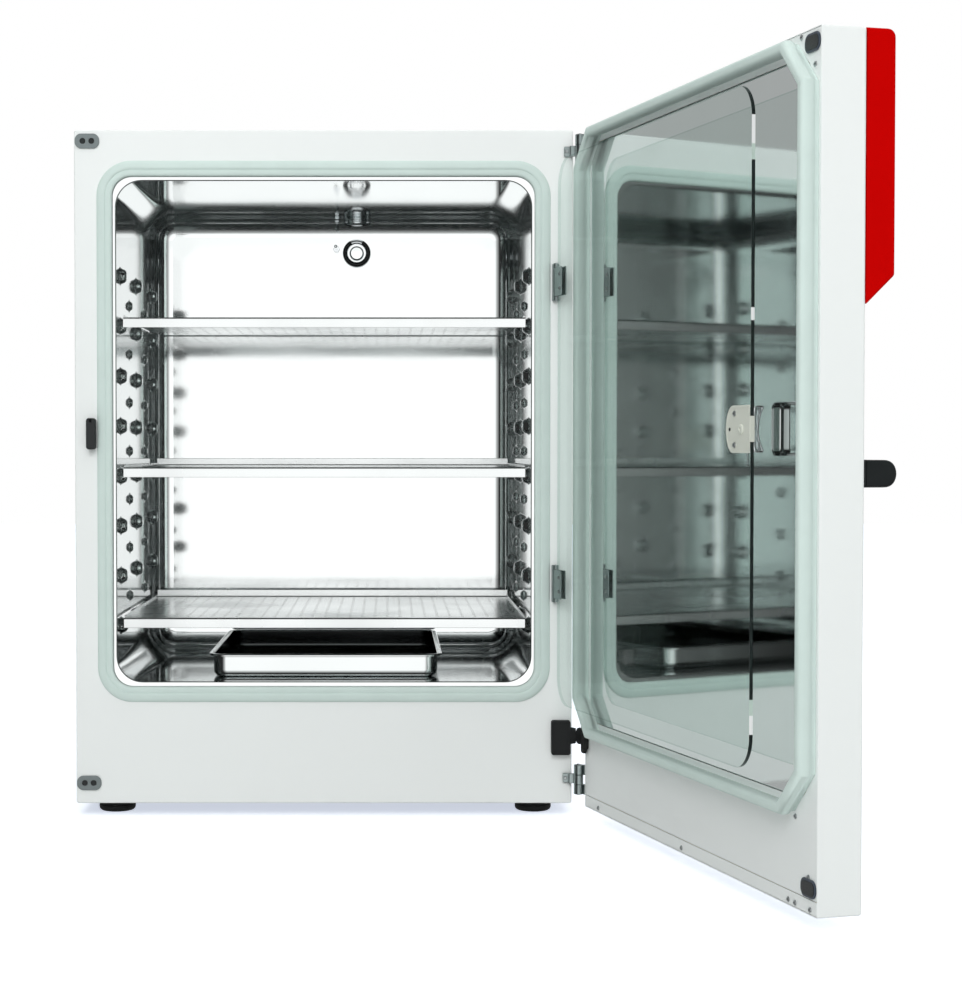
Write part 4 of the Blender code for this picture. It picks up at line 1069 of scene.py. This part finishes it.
def make_display():
    """Dark display window with three rows of plain figures and a row of soft keys."""
    low, high = shut_box("display_panel")
    row_pitch, place_pitch, key_pitch, half_key = 0.034, 0.026, 0.045, 0.011
    bars = []
    for row, figures in enumerate(("370", "50", "95")):
        base = high.z - 0.040 - row_pitch * row
        for place, figure in enumerate(figures):
            bars += digit(figure, low.x + 0.060 + place_pitch * place, base, 0.022, low.y)
    keys = []
    for place in range(-2, 3):
        x = key_pitch * place
        keys.append(slab((x - half_key, low.y - 0.0009, low.z + 0.0085),
                         (x + half_key, low.y + 0.0001, low.z + 0.0185), corner=0.003, edge=0.0003))
    piece("display_window", "display_panel", display_glass=slab(low, high, corner=0.008, arc=6),
          figures=joined(*bars), grey_plastic=joined(*keys))


def make_power_switch():
    """Rocker with a shallow valley across its face, at rest tilted to off."""
    low, high = shut_box("power_switch")
    _, axis, z = shut_axis("power_switch_rock")
    x = (low.x + high.x) / 2
    radius, valley, half_width, tilt = 0.0108, 0.0068, 0.0128, math.radians(-9)
    outline = [(axis - radius * math.cos(turn - tilt), z + radius * math.sin(turn - tilt))
               for turn in turns(24, 50, 310)]
    for side, rise in ((-0.004, 0.0003), (0.0, 0.0), (0.004, 0.0003)):
        reach = valley + rise
        outline.append((axis - reach * math.cos(tilt) + side * math.sin(tilt),
                        z - reach * math.sin(tilt) + side * math.cos(tilt)))
    rocker = cut_plate([outline], x - half_width, x + half_width, across="x")
    piece("switch_rocker", "power_switch", sharp=30, black_plastic=rocker)


def make_handle():
    """Black bar handle with a rounded nose, hollowed from below for the fingers, on a thin base."""
    piece("handle_foot", "handle_base",
          black_plastic=slab(*shut_box("handle_base"), corner=0.005, edge=0.0008))
    low, high = shut_box("door_handle")
    middle, half, nose = (low.z + high.z) / 2, (high.z - low.z) / 2, 0.017
    ends = [(step_in, along) for along, step_in in soft(0.0035, 5)]
    stations = [(step_in, low.x + along) for step_in, along in ends]
    stations += [(step_in, high.x - along) for step_in, along in reversed(ends)]
    loops = []
    for step_in, x in stations:
        section = [(high.y, middle - half + step_in)]
        for step, turn in enumerate(turns(16, -90, 90)):
            reach = (nose - step_in) * math.cos(turn) ** 0.8 if step not in (0, 16) else 0.0
            section.append((low.y + nose - reach, middle + (half - step_in) * math.sin(turn)))
        section.append((high.y, middle + half - step_in))
        loops.append(lay(section, x, "x"))
    recess = slab((low.x + 0.014, high.y - 0.020, low.z - 0.010), off(high, -0.014, 0.010, -0.006),
                  across="z", corner=0.006, edge=0.002)
    piece("handle_bar", "door_handle", sharp=38, black_plastic=bitten(skin(loops), recess))


# ---------------------------------------------------------------- inner glass door

def parted(form, along):
    """A form's faces in two lots: those that face along the axis, and the rest."""
    points, faces = form
    facing, other = [], []
    for face in faces:
        corners = [Vector(points[index]) for index in face]
        normal = Vector((0, 0, 0))
        for first, second in zip(corners, corners[1:] + corners[:1]):
            normal += first.cross(second)
        same = abs(normal.normalized()[along]) > 0.9
        (facing if same else other).append(face)
    return (points, facing), (points, other)


def make_glass():
    """Clear pane with a ground edge and a hole for the latch."""
    low, high = shut_box("glass_pane")
    knob_x, _, knob_z = shut_axis("glass_latch_turn")
    outlines = [rounded(flat(low), flat(high), 0.043, 12), circle((knob_x, knob_z), 0.007, 32)]
    faces, edges = parted(cut_plate(outlines, low.y, high.y, edge=0.0005), 1)
    piece("glass_sheet", "glass_pane", clear_glass=faces, glass_edge=edges)


def make_latch_plate():
    """Plate with a round end, a raised rim, hub, screws and socket, and a bridge round the pane's edge."""
    low, high = shut_box("glass_latch_plate")
    knob_x, _, knob_z = shut_axis("glass_latch_turn")
    edge_x, edge_y, _ = shut_box("glass_pane")[0]
    centre_x, half = -0.295, (high.z - low.z) / 2
    reach = high.x - centre_x

    def outline(step_in):
        left, rise = low.x + step_in, half - step_in
        end = [(centre_x + (reach - step_in) * math.cos(turn), knob_z + rise * math.sin(turn))
               for turn in turns(16, -90, 90)[1:-1]]
        return [(left, knob_z - rise), (centre_x, knob_z - rise), *end, (centre_x, knob_z + rise),
                (left, knob_z + rise)]

    plate = cut_plate([outline(0.0)], low.y, high.y - 0.0003, edge=0.0003)
    rim = cut_plate([outline(0.0), outline(0.0035)], low.y, high.y, edge=0.0003)
    hub = turned([(0.0062, 0), (0.0062, 0.0016), (0.0052, 0.0022), (0.0030, 0.0022), (0.0026, 0.0008)],
                 (knob_x, high.y - 0.0006, knob_z), REAR)
    bridge = slab((edge_x - 0.0012, edge_y - 0.0003, knob_z - 0.016),
                  (edge_x + 0.0004, high.y - 0.0002, knob_z + 0.016), across="x", corner=0.001, edge=0.0004)
    heads = [screw((-0.300, high.y - 0.0004, knob_z + rise), REAR, 0.0036) for rise in (-0.0195, 0.0195)]
    socket = turned([(0.0022, 0), (0.0022, 0.0005)], (-0.286, high.y - 0.0003, knob_z), REAR, 20)
    piece("latch_escutcheon", "glass_latch_plate", cream_plastic=joined(plate, rim, hub, bridge),
          zinc_steel=joined(*heads), black_plastic=socket)


def make_latch_knob():
    """Chrome turn knob: shaft through the glass, collar, a grip that flares to its ends, and the tongue."""
    x, _, z = shut_axis("glass_latch_turn")
    shaft = turned([(0.0050, 0), (0.0050, 0.0090), (0.0075, 0.0092), (0.0078, 0.0100), (0.0078, 0.0125),
                    (0.0068, 0.0132), (0.0064, 0.0150)], (x, ahead(0.0080), z), FRONT, 40)
    tongue = bar((x - 0.0045, x + 0.0045), (0.0130, 0.0155), (z - 0.046, z + 0.006), corner=0.0035,
                 edge=0.0005)
    half, waist, flare = 0.0268, 0.0270, 0.0070
    outline = [(waist + flare * (step / 8) ** 2, half * step / 8) for step in range(-8, 9)]
    side = [(0.0328, 0.0284), (0.0312, 0.0291), (0.0240, 0.0291), (0.0212, 0.0284), (0.0190, 0.0250),
            (0.0180, 0.0150)]
    outline += [*side, (0.0178, 0.0), *((distance, -rise) for distance, rise in reversed(side))]
    grip = cut_plate([[(ahead(distance), z + rise) for distance, rise in outline]], x - 0.0085, x + 0.0085,
                     across="x", edge=0.0022)
    piece("latch_turn_knob", "glass_latch_knob", sharp=40, chrome=joined(shaft, tongue, grip))


# ---------------------------------------------------------------- shelves and water pan

def make_shelf(name):
    """Perforated sheet with a hemmed front lip, a rear stop and low upturned sides."""
    low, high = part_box(name)
    sheet, lip, stop, bend, pitch, hem, hole = 0.0012, 0.016, 0.012, 0.0030, 0.0200, 0.0008, 0.0025
    top, foot_z, front, back = high.z - stop, high.z - stop - lip, low.y, high.y

    def fold(radius):
        """A quarter bend, as distances from its flat end: across and in height."""
        return [(radius * math.sin(turn), radius * (1 - math.cos(turn))) for turn in turns(5)]

    def strip(section):
        return skin([lay(section, low.x, "x"), lay(section, high.x, "x")])

    outer = [(front + bend - across, top - rise) for across, rise in fold(bend)]
    inner = [(front + bend - across, top - sheet - rise) for across, rise in fold(bend - sheet)]
    hem_back = front + 2 * sheet
    foot = [(front, foot_z + hem), (front + hem * 0.4, foot_z), (hem_back - hem * 0.4, foot_z),
            (hem_back, foot_z + hem), (hem_back, foot_z + 0.0060), (front + sheet, foot_z + 0.0064)]
    lip_strip = strip(outer + foot + inner[::-1])
    outer = [(back - bend + across, top - sheet + rise) for across, rise in fold(bend)]
    inner = [(back - bend + across, top + rise) for across, rise in fold(bend - sheet)]
    crest = [(back, high.z - hem), (back - hem, high.z), (back - sheet, high.z - hem)]
    stop_strip = strip(outer + crest + inner[::-1])

    flat_front, flat_back = front + bend, back - bend
    outlines = [[(low.x, flat_front), (high.x, flat_front), (high.x, flat_back), (low.x, flat_back)]]
    columns, rows = int((high.x - low.x - 0.030) / pitch), int((back - front - 0.040) / pitch)
    middle = (low + high) / 2
    for column in range(columns + 1):
        for row in range(rows + 1):
            at = (middle.x + (column - columns / 2) * pitch, middle.y + (row - rows / 2) * pitch)
            outlines.append(circle(at, hole, 10))
    plate = cut_plate(outlines, top - sheet, top, "z", edge=0.0)
    sides = [slab((x, front + 0.008, top - sheet), (x + sheet, back - 0.008, top + 0.0035), across="x",
                  corner=0.0012, edge=0.0003) for x in (low.x, high.x - sheet)]
    piece(name + "_tray", name, sharp=35, shelf_steel=joined(lip_strip, stop_strip, plate, *sides))


def make_water_pan():
    """Deep-drawn pan with rounded corners and a rim rolled under at its edge; its inner walls get a dark
    steel colour as painted shade.
    """
    low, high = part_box("water_pan")
    top, base, corner = high.z, low.z, 0.031
    floor = base + 0.0010
    inside = [(0.060, floor), (0.0200, floor), (0.0150, floor + 0.0008), (0.0115, floor + 0.0032),
              (0.0096, floor + 0.0068), (0.0090, floor + 0.0110), (0.0090, top - 0.0030),
              (0.0083, top - 0.0010)]
    rolled = [(0.0068, 0.0001), (0.0050, 0), (0.0024, 0), (0.0008, 0.0006), (0.0001, 0.0020),
              (0.0003, 0.0036), (0.0014, 0.0044), (0.0020, 0.0036), (0.0014, 0.0020), (0.0026, 0.0010),
              (0.0064, 0.0011), (0.0076, 0.0020), (0.0080, 0.0036)]
    rim = [(step_in, top - below) for step_in, below in rolled]
    outside = [(0.0080, base + 0.0110), (0.0086, base + 0.0060), (0.0106, base + 0.0024),
               (0.0146, base + 0.0003), (0.0200, base), (0.060, base)]
    inner, outer = [rims(profile, low, high, corner, 10, "z")
                    for profile in (inside, inside[-1:] + rim + outside)]
    piece("water_tray", "water_pan", sharp=45, pan_steel=skin(outer, caps=(False, True)),
          pan_inside=skin(inner, caps=(True, False)))


# ---------------------------------------------------------------- everything in its place

def dress_hidden_parts():
    """Finishes for what the covers hide."""
    for node, look in (("base_plate", "zinc_steel"), ("chamber_heater", "zinc_steel"),
                       ("chamber_insulation", "insulation_foam"), ("door_insulation", "insulation_foam"),
                       ("power_supply", "electronics_case"), ("relay_board", "circuit_board"),
                       ("controller_board", "circuit_board"), ("gas_valve", "brass")):
        dress(node, look)
    soften("base_plate", 0.0004)


make_shell()
make_face_frame()
make_chamber()
make_chamber_gasket()
make_sensors()
make_strike()
for hinge_level in ("upper", "lower"):
    make_plug(hinge_level + "_plug_cover", "grey_plastic")
    make_plug(hinge_level + "_door_plug", "navy_plastic")
    make_outer_hinge(hinge_level)
    make_glass_hinge(hinge_level)
make_cable()
for foot in ("foot_front_left", "foot_front_right", "foot_rear_left", "foot_rear_right"):
    make_foot(foot)
make_rear_cover()
make_connections()
make_door_shell()
make_door_lining()
make_mirror_panel()
make_latch_pocket()
make_door_gasket()
make_control_housing()
make_display()
make_power_switch()
make_handle()
make_glass()
make_latch_plate()
make_latch_knob()
for shelf in ("shelf_top", "shelf_middle", "shelf_bottom"):
    make_shelf(shelf)
make_water_pan()
dress_hidden_parts()


# ---------------------------------------------------------------- floor, light and camera

def make_world():
    """White for the camera, soft daylight for surfaces, and a lit front with dark sides for reflections."""
    world = bpy.data.worlds.new("studio")
    bpy.context.scene.world = world
    nodes = Nodes(world)
    frontness = nodes.rescaled(nodes.dot(nodes.coordinates["Generated"], FRONT), -1.0, 1.0)
    levels = ((0.0, 0.50), (0.47, 0.48), (0.52, 0.02), (0.87, 0.03), (0.925, 0.38), (0.955, 0.60),
              (0.975, 1.15), (1.0, 1.25))
    reflected = nodes.ramp(frontness, [(position, (level, level * 1.01, level * 1.005))
                                       for position, level in levels])
    path = nodes.add("LightPath").outputs
    soft_light = nodes.mix(path["Is Glossy Ray"], (0.250, 0.278, 0.270), reflected)
    seen = nodes.mix(path["Is Camera Ray"], soft_light, (1.0, 1.0, 1.0))
    nodes.show(nodes.add("Background", {"Color": seen}), "World")
    world.cycles.sampling_method = "NONE"


def make_lights():
    """Soft area lights, aimed at the object: (place, target, size, watts)."""
    middle = (0.1, -0.3, 0.5)
    lights = {"front_key": ((-0.3, -4.6, 2.6), middle, (3.2, 2.4), 117.0),
              "overhead": ((0.0, -0.3, 3.4), (0, -0.3, 0), (4.0, 4.0), 64.0),
              "rear_fill": ((1.6, 4.2, 2.2), middle, (3.0, 2.4), 60.0),
              "right_fill": ((4.2, -0.6, 1.8), middle, (2.6, 2.4), 30.0)}
    for name, (at, target, size, watts) in lights.items():
        light = bpy.data.lights.new(name, "AREA")
        light.shape = "RECTANGLE"
        light.size, light.size_y = size
        light.energy = watts
        made = bpy.data.objects.new(name, light)
        made.location = at
        made.rotation_euler = (Vector(target) - Vector(at)).to_track_quat("-Z", "Y").to_euler()
        made.visible_glossy = False
        bpy.context.scene.collection.objects.link(made)


def make_floor():
    """A pale floor that only darkens where the object stands close over it."""
    size, level = 12.0, cad_low.z - 0.0005
    corners = [(-size, -size, level), (size, -size, level), (size, size, level), (-size, size, level)]
    mesh = bpy.data.meshes.new("floor")
    mesh.from_pydata(corners, [], [(0, 1, 2, 3)])
    floor = bpy.data.objects.new("floor", mesh)
    bpy.context.scene.collection.objects.link(floor)
    floor.visible_glossy = False
    nodes = new_material("floor")
    matt = nodes.add("BsdfPrincipled", {"Base Color": (0.80, 0.80, 0.80), "Roughness": 0.9})
    reach = nodes.add("VectorMath", {0: nodes.place}, operation="LENGTH").outputs["Value"]
    near, far = 1.3, 2.2
    strength = nodes.math("MULTIPLY", nodes.add("LightPath").outputs["Is Camera Ray"],
                          nodes.rescaled(reach, near, far, 1.0, 1.5))
    glow = nodes.add("Emission", {"Color": (0.58, 0.62, 0.71), "Strength": strength})
    nodes.show(nodes.add("AddShader", {0: matt.outputs["BSDF"], 1: glow.outputs["Emission"]}))
    mesh.materials.append(MATERIALS["floor"])


def make_camera():
    """A view from level with the cabinet's middle, through a long lens shifted sideways."""
    camera = bpy.data.cameras.new("camera")
    camera.lens = 72.0
    camera.sensor_width = 36.0
    camera.shift_x = 0.0935
    camera.shift_y = 0.0004
    made = bpy.data.objects.new("camera", camera)
    made.location = (0.100, ahead(3.137), 0.5566)
    made.rotation_euler = (math.radians(90 - 1.45), 0, 0)
    bpy.context.scene.collection.objects.link(made)
    bpy.context.scene.camera = made


def tune_light_paths():
    scene = bpy.context.scene
    scene.view_settings.view_transform = "Standard"
    scene.cycles.max_bounces = 16
    scene.cycles.glossy_bounces = 12
    scene.cycles.transparent_max_bounces = 16
    scene.cycles.caustics_reflective = False
    scene.cycles.use_denoising = True


make_world()
make_floor()
make_lights()
make_camera()
tune_light_paths()
